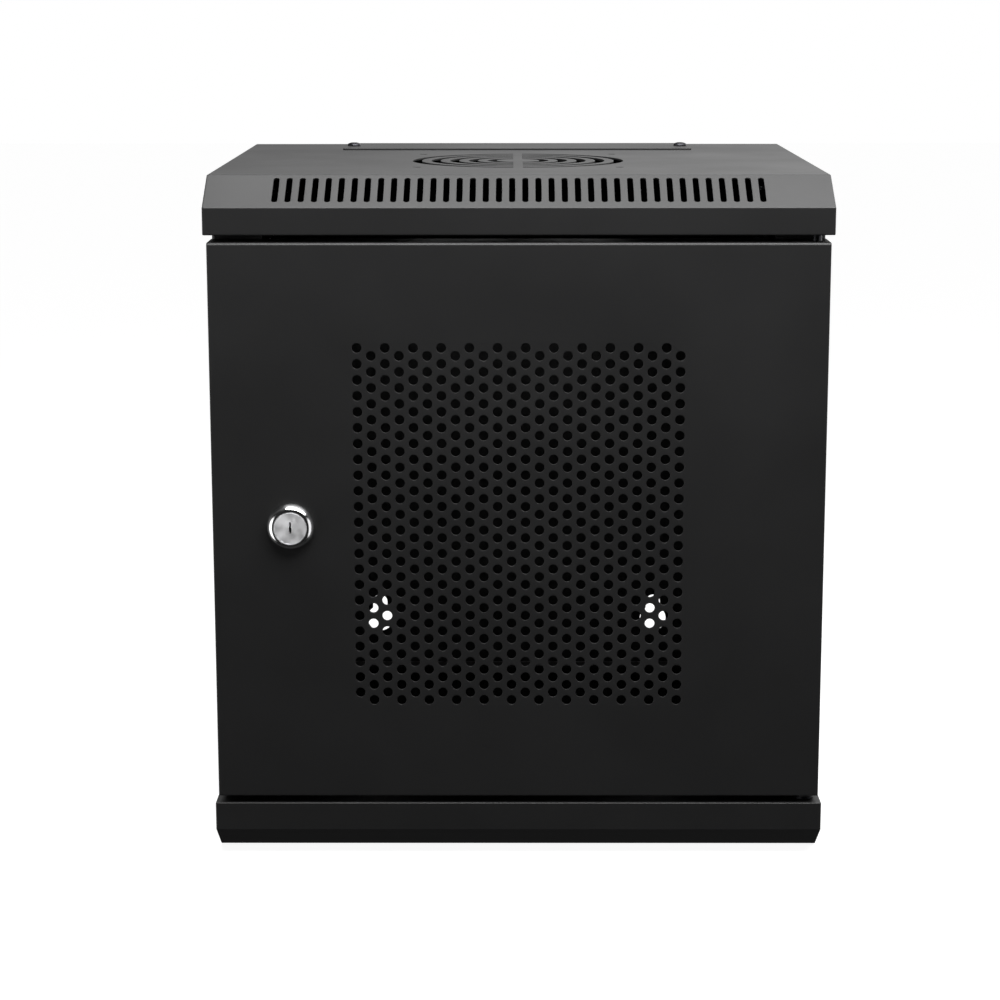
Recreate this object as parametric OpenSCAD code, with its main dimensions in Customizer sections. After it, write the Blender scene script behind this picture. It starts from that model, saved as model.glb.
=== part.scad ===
// Wall-mounted cabinet for ten-inch rack equipment, with a perforated steel door.
// Millimetres. X runs to the right, Y to the back and Z up, and the origin is under the
// middle of the base. The door hangs on two pins at its right edge and a cam lock holds it.

/* [Cabinet] */
// Width over the top and bottom covers
case_w = 310; // [306:1:320]
// Depth from the fascia to the wall
case_d = 280; // [260:1:340]
// Height of the equipment space, in rack units
units = 6; // [6:1:9]
// Height that the two covers and their clearances add to the rack units
extra_h = 80; // [78:1:90]
// Thickness of the sheet steel
sheet = 1.2; // [1:0.1:1.5]

/* [Covers] */
// Height of the top cover
top_cover_h = 27.8; // [26:0.1:30]
// Height of the bottom cover
bottom_cover_h = 28.8; // [26:0.1:30]
// Height of the sloping edge along the front of each cover
slope_h = 14.3; // [10:0.1:16]
// Depth of the top cover's sloping edge
top_slope_d = 24.5; // [20:0.5:26]
// Depth of the bottom cover's sloping edge
bottom_slope_d = 20.5; // [16:0.5:26]
// Number of ventilation slots in the top slope
slope_slots = 38; // [10:2:38]
// Distance between two ventilation slots
slope_slot_pitch = 6.48; // [6:0.02:7]
// Width of a ventilation slot
slope_slot_w = 3; // [2:0.1:4]
// Length of a ventilation slot, along the slope
slope_slot_l = 20.8; // [12:0.1:21]
// Distance of the slots' middles up the slope from the slope's middle
slope_slot_rise = 1.1; // [0:0.1:2]

/* [Fan grille and cable entries] */
// Distance from the cabinet's middle forward to the grille's middle
grille_forward = 9; // [0:1:14]
// Outer radius of the grille's largest ring
grille_r = 56.5; // [50:0.5:58]
// Distance between two rings
grille_pitch = 10; // [9:0.5:12]
// Width of a ring's slot, and of the spoke between its halves
grille_slot = 5; // [4:0.5:6]
// Number of rings
grille_rings = 5; // [3:1:5]
// Side of the square that the fan's four screws make
fan_pitch = 105; // [82:0.5:105]
// Width of a cable entry's cover plate
entry_plate_w = 199.6; // [180:0.1:220]
// Depth of a cable entry's cover plate
entry_plate_d = 52; // [44:1:54]
// Thickness of a cable entry's cover plate
entry_plate_t = 0.8; // [0.8:0.1:1.5]

/* [Door] */
// Width of the door
door_w = 306.4; // [302:0.1:306.6]
// Depth of the door's folded edges
door_edge_d = 20; // [16:0.5:20]
// Gap between the door and the top cover
door_gap_top = 3.5; // [3:0.1:5]
// Gap between the door and the bottom cover
door_gap_bottom = 3.7; // [3.5:0.1:5]
// Diameter of a hole in the door
perforation_d = 4.95; // [3:0.05:6]
// Distance between two neighbouring holes in a column
perforation_pitch = 8; // [7:0.5:8]
// Distance between two neighbouring columns
column_pitch = 6.96; // [6:0.02:7]
// Number of upright columns of holes
perforation_columns = 24; // [4:2:24]
// Number of holes in a column
perforation_rows = 23; // [3:2:23]
// Distance from the door's middle to the lock, towards the free edge
lock_offset = 114; // [100:1:116]

/* [Rails] */
// Travel of each rail along its two supports
rail_travel = 150; // [40:5:150]
// Distance from the door's face back to the rails' face
rail_setback = 45; // [40:1:60]

/* [Wall fixing] */
// Distance between the keyholes' middles, side to side
keyhole_spread = 168; // [100:1:180]
// Distance between the keyholes' middles, up and down
keyhole_rise = 210; // [150:1:220]
// Height of the lower keyholes' middles above the base
keyhole_z = 56.4; // [50:0.1:80]
// Diameter of a keyhole's round entry
keyhole_d = 16; // [12:0.5:18]
// Width of a keyhole's slot
keyhole_slot = 8.8; // [6:0.1:9]

/* [Hidden] */

$fn = 48;
fit = 0.05;
steel_black = [0.1, 0.1, 0.11];
inner_black = [0.16, 0.16, 0.17];
screw_black = [0.18, 0.18, 0.19];
zinc = [0.72, 0.73, 0.75];
chrome = [0.82, 0.82, 0.84];

// Rack standard: one unit, its three hole heights, and the distances across a ten-inch rack
unit_h = 44.45;
unit_holes = [6.35, 22.225, 38.1];
rack_holes_w = 236.525;
rack_opening_w = 222.25;
square_hole = 9.5;

case_h = units * unit_h + extra_h;
front_y = -case_d / 2;
back_y = case_d / 2;
mid_z = case_h / 2;
top_mouth_z = case_h - top_cover_h;

door_z = bottom_cover_h + door_gap_bottom;
door_top_z = top_mouth_z - door_gap_top;
hinge_x = door_w / 2 - 6.2;
hinge_y = front_y + 10;
pin_r = 2.5;
pin_rise = 2;

// The side panels stand behind the door's folded edges, inside the covers' side faces
side_x = case_w / 2 - 2;
side_front_y = front_y + door_edge_d + 3;
side_flange_w = 16;
strike_w = 25;
lip_front = 18;
lip_side = 16;
lip_back = 12;
cover_screw_x = side_x - 7;
cover_screw_ys = [side_front_y + 6, back_y - 14];
stud_x = side_x - 9;
stud_zs = [bottom_cover_h + 31, mid_z, top_mouth_z - 31];

entry_y = front_y + 222 + entry_plate_d / 2;
entry_open_w = 176;
entry_open_d = 30;
entry_screw_x = entry_plate_w / 2 - 4.9;
entry_head_r = 3.8;
entry_head_h = 1.9;

support_t = 1.5;
support_w = 23;
support_leg = 19;
support_front_y = side_front_y + 11;
support_back_y = back_y - 20;
support_top_z = top_mouth_z - 7.5;
support_bottom_z = bottom_cover_h + 7.5;
rivet_ys = [support_front_y + 22, support_back_y - 22];

rail_t = 1.5;
rail_y = front_y + rail_setback;
rail_depth = 25;
rail_web_x = 128;
rail_tab_w = 19;
rail_screw_x = 138;
rail_screw_y = rail_y + rail_depth / 2;
rail_top_z = support_top_z - support_t - fit;
rail_bottom_z = support_bottom_z + support_t + fit;
slot_w = 4.4;

lock_z = mid_z;
lock_hole_r = 9.6;
barrel_r = 9.5;
barrel_end_y = front_y + 24;
bezel_proud = 5;
plug_face_r = 8.2;
plug_r = 6.5;
cam_y = side_front_y + sheet + 0.9;
cam_t = 2;
cam_reach = 32;
cam_w = 12;
square_end = 7;

spring_r = 3.7;
spring_wire = 0.8;
spring_turns = 5;
bracket_t = 2;
bracket_h = 28;
bracket_top_z = door_top_z - sheet;
collar_z = bracket_top_z - 12;
spring_z = bracket_top_z - bracket_h + bracket_t;
pin_bottom_z = spring_z - bracket_t - 8;

// Sheet drawn in X and Z, from y to y + t
module upright(y, t) {
    translate([0, y + t, 0]) rotate([90, 0, 0]) linear_extrude(t) children();
}

// Sheet drawn in Y and Z, from x to x + t
module sideways(x, t) {
    translate([x, 0, 0]) rotate([90, 0, 90]) linear_extrude(t) children();
}

// Rectangle between two corners
module span(x1, y1, x2, y2) {
    translate([x1, y1]) square([x2 - x1, y2 - y1]);
}

// Slot with round ends, along Y
module slot(length, width) {
    square([width, length - width], center = true);
    for (end = [-1, 1]) translate([0, end * (length - width) / 2]) circle(d = width);
}

// Copies at plus and minus x
module both_sides(x) {
    for (side = [-1, 1]) translate([side * x, 0, 0]) children();
}

// Pan-head screw that points down, with the head's underside at z = 0
module pan_screw(r, length, head_r, head_h) {
    difference() {
        union() {
            translate([0, 0, -length]) cylinder(r = r, h = length + 0.1);
            cylinder(r = head_r, h = head_h / 2);
            translate([0, 0, head_h / 2]) cylinder(r1 = head_r, r2 = head_r * 0.72, h = head_h / 2);
        }
        translate([0, 0, head_h * 0.35]) cylinder(r = head_r * 0.45, h = head_h, $fn = 6);
    }
}

// Nut with its lower face at z = 0
module hex_nut(bore_r, flats, height) {
    difference() {
        cylinder(r = flats / sqrt(3), h = height, $fn = 6);
        translate([0, 0, -1]) cylinder(r = bore_r, h = height + 2);
    }
}

module ring(bore_r, outer_r, height) {
    difference() {
        cylinder(r = outer_r, h = height);
        translate([0, 0, -1]) cylinder(r = bore_r, h = height + 2);
    }
}

// Side outline of a cover, in Y and Z: fascia, slope, flat plate and rear wall. The mouth is
// at z = 0. The inner outline is inset by the sheet and runs on past the mouth.
function cover_outline(tall, slope_d, inset) =
    let (slope = atan2(slope_h, slope_d), low = inset > 0 ? -1 : 0)
    [
        [front_y + inset, low],
        [front_y + inset, tall - slope_h - inset * tan((90 - slope) / 2)],
        [front_y + slope_d + inset * tan(slope / 2), tall - inset],
        [back_y - inset, tall - inset],
        [back_y - inset, low],
    ];

// A folded cover with its mouth at z = 0 and a lip turned in all round it
module cover_shell(tall, slope_d) {
    inner_w = case_w - 2 * sheet;
    difference() {
        sideways(-case_w / 2, case_w) polygon(cover_outline(tall, slope_d, 0));
        sideways(-inner_w / 2, inner_w) polygon(cover_outline(tall, slope_d, sheet));
    }
    difference() {
        linear_extrude(sheet) difference() {
            span(-case_w / 2, front_y, case_w / 2, back_y);
            span(-case_w / 2 + lip_side, front_y + lip_front, case_w / 2 - lip_side, back_y - lip_back);
        }
        both_sides(cover_screw_x) for (y = cover_screw_ys) {
            translate([0, y, -1]) cylinder(r = 2.7, h = sheet + 2);
        }
        translate([hinge_x, hinge_y, -1]) cylinder(r = pin_r + fit, h = sheet + 2);
    }
}

module entry_cutter(depth) {
    linear_extrude(depth) {
        translate([0, entry_y]) square([entry_open_w, entry_open_d], center = true);
        both_sides(entry_screw_x) translate([0, entry_y]) circle(r = 2.1);
    }
}

// Rings of slots, split into halves by one spoke that runs front to back
module grille_cutter(depth) {
    translate([0, -grille_forward, 0]) linear_extrude(depth) {
        difference() {
            for (i = [0:grille_rings - 1]) difference() {
                circle(r = grille_r - i * grille_pitch);
                circle(r = grille_r - i * grille_pitch - grille_slot);
            }
            square([grille_slot, 2 * grille_r + 2], center = true);
        }
        for (x = [-1, 1], y = [-1, 1]) translate([x, y] * fan_pitch / 2) circle(r = 2.2);
    }
}

module top_cover() {
    slope = atan2(slope_h, top_slope_d);
    color(steel_black) translate([0, 0, top_mouth_z]) difference() {
        cover_shell(top_cover_h, top_slope_d);
        translate([0, front_y + top_slope_d / 2, top_cover_h - slope_h / 2]) rotate([slope, 0, 0])
            for (i = [0:slope_slots - 1])
                translate([(i - (slope_slots - 1) / 2) * slope_slot_pitch, slope_slot_rise, -4])
                    linear_extrude(8) slot(slope_slot_l, slope_slot_w);
        translate([0, 0, top_cover_h - 3]) grille_cutter(6);
        translate([0, 0, top_cover_h - 3]) entry_cutter(6);
    }
}

module bottom_cover() {
    color(steel_black) difference() {
        translate([0, 0, bottom_cover_h]) mirror([0, 0, 1]) cover_shell(bottom_cover_h, bottom_slope_d);
        translate([0, 0, -3]) entry_cutter(6);
    }
}

// Side panel on the +X side, turned in at all four edges. The front edge is the lock's strike.
module side_panel() {
    low = bottom_cover_h;
    tall = top_mouth_z - bottom_cover_h;
    long = back_y - side_front_y;
    color(steel_black) difference() {
        union() {
            translate([side_x - sheet, side_front_y, low]) cube([sheet, long, tall]);
            translate([side_x - strike_w, side_front_y, low]) cube([strike_w, sheet, tall]);
            translate([side_x - side_flange_w, back_y - sheet, low]) cube([side_flange_w, sheet, tall]);
            for (z = [low, top_mouth_z - sheet])
                translate([side_x - side_flange_w, side_front_y, z]) cube([side_flange_w, long, sheet]);
        }
        for (y = cover_screw_ys) translate([cover_screw_x, y, low - 1]) cylinder(r = 2.7, h = tall + 2);
        for (z = stud_zs) upright(back_y - 3, 6) translate([stud_x, z]) circle(r = 2);
        for (y = rivet_ys, z = [support_bottom_z + 11, support_top_z - 11])
            sideways(side_x - 3, 6) translate([y, z]) circle(r = 1.6);
    }
}

module left_side_panel() {
    mirror([1, 0, 0]) side_panel();
}

module right_side_panel() {
    side_panel();
}

module keyhole() {
    reach = keyhole_d / 2 + 7 - keyhole_slot / 2;
    circle(d = keyhole_d);
    span(-keyhole_slot / 2, 0, keyhole_slot / 2, reach);
    translate([0, reach]) circle(d = keyhole_slot);
}

// Back panel, held against the inner faces of the side panels' rear edges
module back_panel() {
    clear = 0.1;
    middle_w = 2 * (side_x - side_flange_w - clear);
    full_w = 2 * (side_x - sheet - clear);
    color(steel_black) upright(back_y - 2 * sheet, sheet) difference() {
        union() {
            span(-middle_w / 2, bottom_cover_h + clear, middle_w / 2, top_mouth_z - clear);
            span(-full_w / 2, bottom_cover_h + sheet + clear, full_w / 2, top_mouth_z - sheet - clear);
        }
        for (x = [-1, 1], row = [0, 1])
            translate([x * keyhole_spread / 2, keyhole_z + row * keyhole_rise]) keyhole();
        for (x = [-1, 1], z = stud_zs) translate([x * stud_x, z]) circle(r = 2.2);
    }
}

// Screws driven from inside through the side panels' edges into the covers' lips
module cover_screws() {
    color(zinc) both_sides(cover_screw_x) for (y = cover_screw_ys) {
        translate([0, y, top_mouth_z - sheet]) mirror([0, 0, 1]) pan_screw(2.5, 7, 4, 2.4);
        translate([0, y, bottom_cover_h + sheet]) pan_screw(2.5, 7, 4, 2.4);
    }
}

module cover_nuts() {
    color(zinc) both_sides(cover_screw_x) for (y = cover_screw_ys) {
        translate([0, y, top_mouth_z + sheet]) ring(2.5, 4.4, 3.4);
        translate([0, y, bottom_cover_h - sheet - 3.4]) ring(2.5, 4.4, 3.4);
    }
}

// Studs pressed flush into the side panels' rear edges, pointing forward
module back_studs() {
    color(zinc) both_sides(stud_x) for (z = stud_zs) upright(back_y - 12, 12) translate([0, z]) circle(r = 2);
}

module back_nuts() {
    color(zinc) both_sides(stud_x) for (z = stud_zs)
        translate([0, back_y - 2 * sheet, z]) rotate([90, 0, 0]) hex_nut(2, 7, 3.2);
}

module entry_plate(z) {
    color(steel_black) translate([0, 0, z]) linear_extrude(entry_plate_t) difference() {
        translate([0, entry_y]) square([entry_plate_w, entry_plate_d], center = true);
        both_sides(entry_screw_x) translate([0, entry_y]) circle(r = 2.1);
    }
}

module top_entry_plate() {
    entry_plate(case_h);
}

module bottom_entry_plate() {
    entry_plate(sheet);
}

module top_entry_screws() {
    color(screw_black) both_sides(entry_screw_x) translate([0, entry_y, case_h + entry_plate_t])
        pan_screw(2, 6, entry_head_r, entry_head_h);
}

module top_entry_nuts() {
    color(zinc) both_sides(entry_screw_x) translate([0, entry_y, case_h - sheet - 3]) ring(2, 3.8, 3);
}

module bottom_entry_screws() {
    color(zinc) both_sides(entry_screw_x) translate([0, entry_y, sheet + entry_plate_t])
        pan_screw(2, 1.8, entry_head_r, entry_head_h);
}

// Slotted angle along the +X side panel, with its slotted leg at the top
module support() {
    slot_front = rail_screw_y - slot_w / 2 - 1;
    slot_back = rail_screw_y + rail_travel + slot_w / 2 + 1;
    wall_x = side_x - sheet;
    color(inner_black) difference() {
        union() {
            translate([wall_x - support_w, support_front_y, -support_t])
                cube([support_w, support_back_y - support_front_y, support_t]);
            translate([wall_x - support_t, support_front_y, -support_leg])
                cube([support_t, support_back_y - support_front_y, support_leg]);
        }
        translate([rail_screw_x, (slot_front + slot_back) / 2, -support_t - 1])
            linear_extrude(support_t + 2) slot(slot_back - slot_front, slot_w);
        for (y = rivet_ys) sideways(wall_x - 3, 6) translate([y, -11]) circle(r = 1.6);
    }
}

module upper_right_support() {
    translate([0, 0, support_top_z]) support();
}

module upper_left_support() {
    mirror([1, 0, 0]) translate([0, 0, support_top_z]) support();
}

module lower_right_support() {
    translate([0, 0, support_bottom_z]) mirror([0, 0, 1]) support();
}

module lower_left_support() {
    mirror([1, 0, 0]) translate([0, 0, support_bottom_z]) mirror([0, 0, 1]) support();
}

// Rivets through the side panels and the supports, with their heads outside
module support_rivets() {
    grip = sheet + support_t;
    color(zinc) for (side = [0, 1], y = rivet_ys, z = [support_bottom_z + 11, support_top_z - 11])
        mirror([side, 0, 0]) translate([side_x - grip, y, z]) rotate([0, 90, 0]) {
            cylinder(r = 1.6, h = grip);
            translate([0, 0, grip]) cylinder(r1 = 3.2, r2 = 2.2, h = 1.1);
            translate([0, 0, -1.2]) cylinder(r = 2.4, h = 1.2);
        }
}

// Rail on the +X side: punched front face, web behind it, and a tab at each end
module rail() {
    face_x = rack_opening_w / 2;
    tall = rail_top_z - rail_bottom_z;
    color(inner_black) difference() {
        union() {
            translate([face_x, rail_y, rail_bottom_z]) cube([rail_web_x - face_x, rail_t, tall]);
            translate([rail_web_x - rail_t, rail_y, rail_bottom_z]) cube([rail_t, rail_depth, tall]);
            for (z = [rail_bottom_z, rail_top_z - rail_t])
                translate([rail_web_x - rail_t, rail_y, z]) cube([rail_tab_w + rail_t, rail_depth, rail_t]);
        }
        for (u = [0:units - 1], h = unit_holes)
            translate([rack_holes_w / 2, rail_y, mid_z + (u - units / 2) * unit_h + h])
                cube([square_hole, 10, square_hole], center = true);
        translate([rail_screw_x, rail_screw_y, rail_bottom_z - 1]) cylinder(r = 2.1, h = tall + 2);
    }
}

module left_rail() {
    mirror([1, 0, 0]) rail();
}

module right_rail() {
    rail();
}

// Screws that clamp one rail's tabs to its supports
module rail_screws(side) {
    color(zinc) translate([side * rail_screw_x, rail_screw_y, 0]) {
        translate([0, 0, rail_top_z - rail_t]) mirror([0, 0, 1]) pan_screw(2, 8, 3.5, 2.4);
        translate([0, 0, rail_bottom_z + rail_t]) pan_screw(2, 8, 3.5, 2.4);
    }
}

module rail_nuts(side) {
    color(zinc) translate([side * rail_screw_x, rail_screw_y, 0]) {
        translate([0, 0, support_top_z + fit]) hex_nut(2, 7, 3.2);
        translate([0, 0, support_bottom_z - fit - 3.2]) hex_nut(2, 7, 3.2);
    }
}

module left_rail_screws() {
    rail_screws(-1);
}

module right_rail_screws() {
    rail_screws(1);
}

module left_rail_nuts() {
    rail_nuts(-1);
}

module right_rail_nuts() {
    rail_nuts(1);
}

// Round holes in columns that are half a pitch out of step with each other
module perforation() {
    for (c = [0:perforation_columns - 1], r = [0:perforation_rows - 1])
        translate([
            (c - (perforation_columns - 1) / 2) * column_pitch,
            ((perforation_rows - 1) / 2 - r) * perforation_pitch + (c % 2 == 0 ? 1 : -1) * perforation_pitch / 4,
        ])
            circle(d = perforation_d);
}

// Door: one sheet, perforated, with its four edges folded back
module door_shell() {
    half = door_w / 2;
    color(steel_black) difference() {
        union() {
            upright(front_y, sheet) difference() {
                span(-half, door_z, half, door_top_z);
                translate([0, mid_z]) perforation();
                translate([-lock_offset, lock_z]) circle(r = lock_hole_r);
            }
            upright(front_y + sheet / 2, door_edge_d - sheet / 2) difference() {
                span(-half, door_z, half, door_top_z);
                span(-half + sheet, door_z + sheet, half - sheet, door_top_z - sheet);
            }
        }
        translate([hinge_x, hinge_y, door_z - 1]) cylinder(r = pin_r + fit, h = door_top_z - door_z + 2);
    }
}

// Rubber pads on the strike that the door's free edge closes against
module door_bumpers() {
    pad_r = 3.5;
    color([0.05, 0.05, 0.05]) for (z = [door_z + 30, door_top_z - 30])
        upright(side_front_y - 2.8, 2.8) translate([-side_x + pad_r, z]) circle(r = pad_r);
}

// Part of the door's right edge that a hinge bracket can take, in X and Y. Each bracket is
// folded from plate: a web against the door's sheet, and ears that the pin passes through.
module bracket_plan() {
    span(door_w / 2 - sheet - 13, front_y + sheet, door_w / 2 - sheet, front_y + door_edge_d - 2);
}

module upper_hinge_bracket() {
    color(inner_black) difference() {
        translate([0, 0, bracket_top_z - bracket_h]) linear_extrude(bracket_h) bracket_plan();
        translate([hinge_x - 10, front_y + sheet + bracket_t, spring_z]) cube([20, 20, bracket_h - 2 * bracket_t]);
        translate([hinge_x, hinge_y, bracket_top_z - bracket_h - 1]) cylinder(r = pin_r + fit, h = bracket_h + 2);
    }
}

module lower_hinge_bracket() {
    low = door_z + sheet;
    color(inner_black) difference() {
        translate([0, 0, low]) linear_extrude(bracket_h - 6) bracket_plan();
        translate([hinge_x - 10, front_y + sheet + bracket_t, low + bracket_t]) cube([20, 20, bracket_h]);
        translate([hinge_x, hinge_y, low - 1]) cylinder(r = pin_r + fit, h = bracket_h);
    }
}

// Pin that a spring holds up in the top cover's lip, and that is pulled down to free the door
module upper_hinge_pin() {
    top_z = top_mouth_z + sheet + pin_rise;
    color(screw_black) translate([hinge_x, hinge_y, 0]) {
        translate([0, 0, pin_bottom_z]) cylinder(r = pin_r, h = top_z - 0.8 - pin_bottom_z);
        translate([0, 0, top_z - 0.8]) cylinder(r1 = pin_r, r2 = pin_r - 0.8, h = 0.8);
    }
}

module pin_collar() {
    color(zinc) translate([hinge_x, hinge_y, collar_z]) ring(pin_r, 4.4, 1.2);
}

module pin_knob() {
    top_z = spring_z - bracket_t - fit;
    color([0.07, 0.07, 0.07]) translate([hinge_x, hinge_y, pin_bottom_z - 2]) difference() {
        union() {
            cylinder(r = 4.6, h = 6);
            translate([0, 0, 6]) cylinder(r1 = 4.6, r2 = 3.6, h = top_z - pin_bottom_z - 4);
        }
        translate([0, 0, 2]) cylinder(r = pin_r, h = 20);
    }
}

// Points of the spring's wire: eight round the wire at each step along the coil
spring_steps = 16 * spring_turns;
spring_gap = collar_z - spring_z - spring_wire;
spring_points = [
    for (s = [0:spring_steps], k = [0:7])
        let (turn = 360 * spring_turns * s / spring_steps, r = spring_r + spring_wire / 2 * cos(45 * k))
        [
            r * cos(turn), r * sin(turn),
            spring_wire / 2 + spring_gap * s / spring_steps + spring_wire / 2 * sin(45 * k),
        ]
];
spring_faces = concat(
    [[for (k = [0:7]) k]],
    [for (s = [0:spring_steps - 1], k = [0:7]) let (a = 8 * s + k, b = 8 * s + (k + 1) % 8) [a, a + 8, b + 8, b]],
    [[for (k = [7:-1:0]) 8 * spring_steps + k]]
);

module pin_spring() {
    color(zinc) translate([hinge_x, hinge_y, spring_z]) polyhedron(spring_points, spring_faces);
}

// Pin riveted into the bottom cover's lip, with a shoulder that carries the door's washer
module lower_hinge_pin() {
    color(screw_black) translate([hinge_x, hinge_y, bottom_cover_h]) {
        translate([0, 0, -sheet - 1]) cylinder(r = 3.4, h = 1);
        translate([0, 0, -sheet]) cylinder(r = pin_r, h = sheet + 15);
        cylinder(r = 5, h = 1.4);
        translate([0, 0, 15]) cylinder(r1 = pin_r, r2 = pin_r - 0.8, h = 0.8);
    }
}

module hinge_washer() {
    color([0.06, 0.06, 0.06]) translate([hinge_x, hinge_y, bottom_cover_h + 1.4])
        ring(pin_r, 4.8, door_gap_bottom - 1.4 - fit);
}

// Everything of the lock is drawn along Z, and turned so that Z points to the back
module lock_place() {
    translate([-lock_offset, front_y, lock_z]) rotate([-90, 0, 0]) children();
}

module lock_housing() {
    color(chrome) lock_place() difference() {
        union() {
            translate([0, 0, -bezel_proud]) cylinder(r1 = 8.8, r2 = 12, h = bezel_proud);
            cylinder(r = barrel_r, h = barrel_end_y - front_y);
        }
        translate([0, 0, -bezel_proud - 1]) cylinder(r = plug_face_r + fit, h = 3);
        translate([0, 0, -bezel_proud]) cylinder(r = plug_r + fit, h = barrel_end_y - front_y + bezel_proud + 1);
    }
}

module lock_nut() {
    color(zinc) lock_place() translate([0, 0, sheet]) hex_nut(barrel_r, 24, 3.5);
}

// Turning plug: face, shaft and square end, with a keyway that is wider at its foot
module lock_plug() {
    face_z = -bezel_proud + 0.2;
    cam_z = cam_y - front_y;
    color(zinc) lock_place() difference() {
        union() {
            translate([0, 0, face_z]) cylinder(r = plug_face_r, h = -bezel_proud + 2 - fit - face_z);
            translate([0, 0, face_z]) cylinder(r = plug_r, h = cam_z - face_z);
            translate([-square_end / 2, -square_end / 2, cam_z - 0.1]) cube([square_end, square_end, cam_t + 0.1]);
        }
        translate([-0.45, -3.1, face_z - 1]) cube([0.9, 5.8, 13]);
        translate([-0.65, -0.2, face_z - 1]) cube([1.3, 2.9, 13]);
        translate([0, 0, cam_z - 6]) cylinder(r = 2, h = 12);
    }
}

// Flat cam that hangs down when the door is free
module lock_cam() {
    arm = cam_reach - cam_w / 2;
    color(zinc) lock_place() translate([0, 0, cam_y - front_y]) linear_extrude(cam_t) difference() {
        union() {
            circle(r = 8);
            span(-cam_w / 2, 0, cam_w / 2, arm);
            translate([0, arm]) circle(d = cam_w);
        }
        square(square_end, center = true);
    }
}

module cam_washer() {
    color(zinc) lock_place() translate([0, 0, cam_y - front_y + cam_t]) ring(2.1, 6, 1);
}

module cam_screw() {
    color(zinc) lock_place() translate([0, 0, cam_y - front_y + cam_t + 1]) pan_screw(2, 8, 4, 2.6);
}

// Earth connection inside the base, for a ring terminal under the nut
module earth_place() {
    translate([-124, 96, sheet]) children();
}

module earth_stud() {
    color([0.8, 0.68, 0.35]) earth_place() cylinder(r = 3, h = 18);
}

module earth_washer() {
    color(zinc) earth_place() ring(3, 6, 1.4);
}

module earth_nut() {
    color(zinc) earth_place() translate([0, 0, 1.4]) hex_nut(3, 10, 5);
}

top_cover();
bottom_cover();
left_side_panel();
right_side_panel();
back_panel();
cover_screws();
cover_nuts();
back_studs();
back_nuts();
top_entry_plate();
top_entry_screws();
top_entry_nuts();
bottom_entry_plate();
bottom_entry_screws();
upper_left_support();
upper_right_support();
lower_left_support();
lower_right_support();
support_rivets();
left_rail();
right_rail();
left_rail_screws();
right_rail_screws();
left_rail_nuts();
right_rail_nuts();
door_shell();
door_bumpers();
upper_hinge_bracket();
lower_hinge_bracket();
upper_hinge_pin();
pin_collar();
pin_knob();
pin_spring();
lower_hinge_pin();
hinge_washer();
lock_housing();
lock_nut();
lock_plug();
lock_cam();
cam_washer();
cam_screw();
earth_stud();
earth_washer();
earth_nut();
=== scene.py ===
"""Ten-inch wall cabinet: folded steel covers, perforated door, cam lock, rails and fixings."""
import math

import bmesh
import bpy
from bpy.props import FloatProperty, FloatVectorProperty, IntProperty, PointerProperty
from mathutils import Matrix, Vector
from mathutils.geometry import delaunay_2d_cdt


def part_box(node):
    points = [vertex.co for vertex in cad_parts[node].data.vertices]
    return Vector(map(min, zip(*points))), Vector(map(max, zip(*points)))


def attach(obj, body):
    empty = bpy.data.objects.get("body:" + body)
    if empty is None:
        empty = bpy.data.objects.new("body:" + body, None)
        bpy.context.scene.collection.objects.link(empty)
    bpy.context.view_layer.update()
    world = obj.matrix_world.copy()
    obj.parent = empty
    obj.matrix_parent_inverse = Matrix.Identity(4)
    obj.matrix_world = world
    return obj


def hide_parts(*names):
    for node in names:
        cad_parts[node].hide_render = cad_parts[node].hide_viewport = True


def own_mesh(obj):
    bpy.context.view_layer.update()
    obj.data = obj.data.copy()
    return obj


bl_info = {
    "name": "Wall Cabinet",
    "version": (1, 0, 0),
    "blender": (4, 5, 0),
    "location": "3D View > Sidebar > Cabinet",
    "description": "Builds a ten-inch wall cabinet in folded, powder-coated steel",
    "category": "Add Mesh",
}

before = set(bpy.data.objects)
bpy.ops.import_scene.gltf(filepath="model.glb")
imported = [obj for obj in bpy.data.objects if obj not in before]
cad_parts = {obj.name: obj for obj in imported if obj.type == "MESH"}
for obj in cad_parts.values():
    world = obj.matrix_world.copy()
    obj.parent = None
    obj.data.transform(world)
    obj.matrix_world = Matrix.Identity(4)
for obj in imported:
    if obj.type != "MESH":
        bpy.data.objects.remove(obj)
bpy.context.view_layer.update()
MM = 0.001
MERGE = 2e-6


def low(node):
    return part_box(node)[0]


def high(node):
    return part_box(node)[1]


# Sizes that the frame already holds
SHEET = high("back_panel").y - low("back_panel").y
FRONT_Y = low("top_cover").y
BACK_Y = high("top_cover").y
HALF_W = high("top_cover").x
HALF_DOOR = high("door_shell").x
DOOR_BACK_Y = high("door_shell").y
HINGE = (low("upper_hinge_pin") + high("upper_hinge_pin")) / 2
LOCK = (low("lock_housing") + high("lock_housing")) / 2
MID_Z = LOCK.z
ENTRY_Y = (low("top_entry_plate").y + high("top_entry_plate").y) / 2
ENTRY_SCREW_X = high("top_entry_plate").x - 4.9 * MM

# Sizes of the fixings and their holes
COVER_SCREW_R = 2.5 * MM
SMALL_SCREW_R = 2 * MM
SCREW_HEAD_H = 2.4 * MM
ENTRY_HEAD_H = 1.9 * MM
COVER_HOLE_R = 2.7 * MM
SMALL_HOLE_R = 2.1 * MM
STUD_HOLE_R = 2.2 * MM
PIN_R = 2.5 * MM
PIN_HOLE_R = 2.55 * MM
SMALL_PITCH = 0.7 * MM
BARREL_R = 9.5 * MM
BARREL_HOLE_R = 9.6 * MM
SUPPORT_SHEET = 1.5 * MM


# ---------------------------------------------------------------- settings


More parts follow.
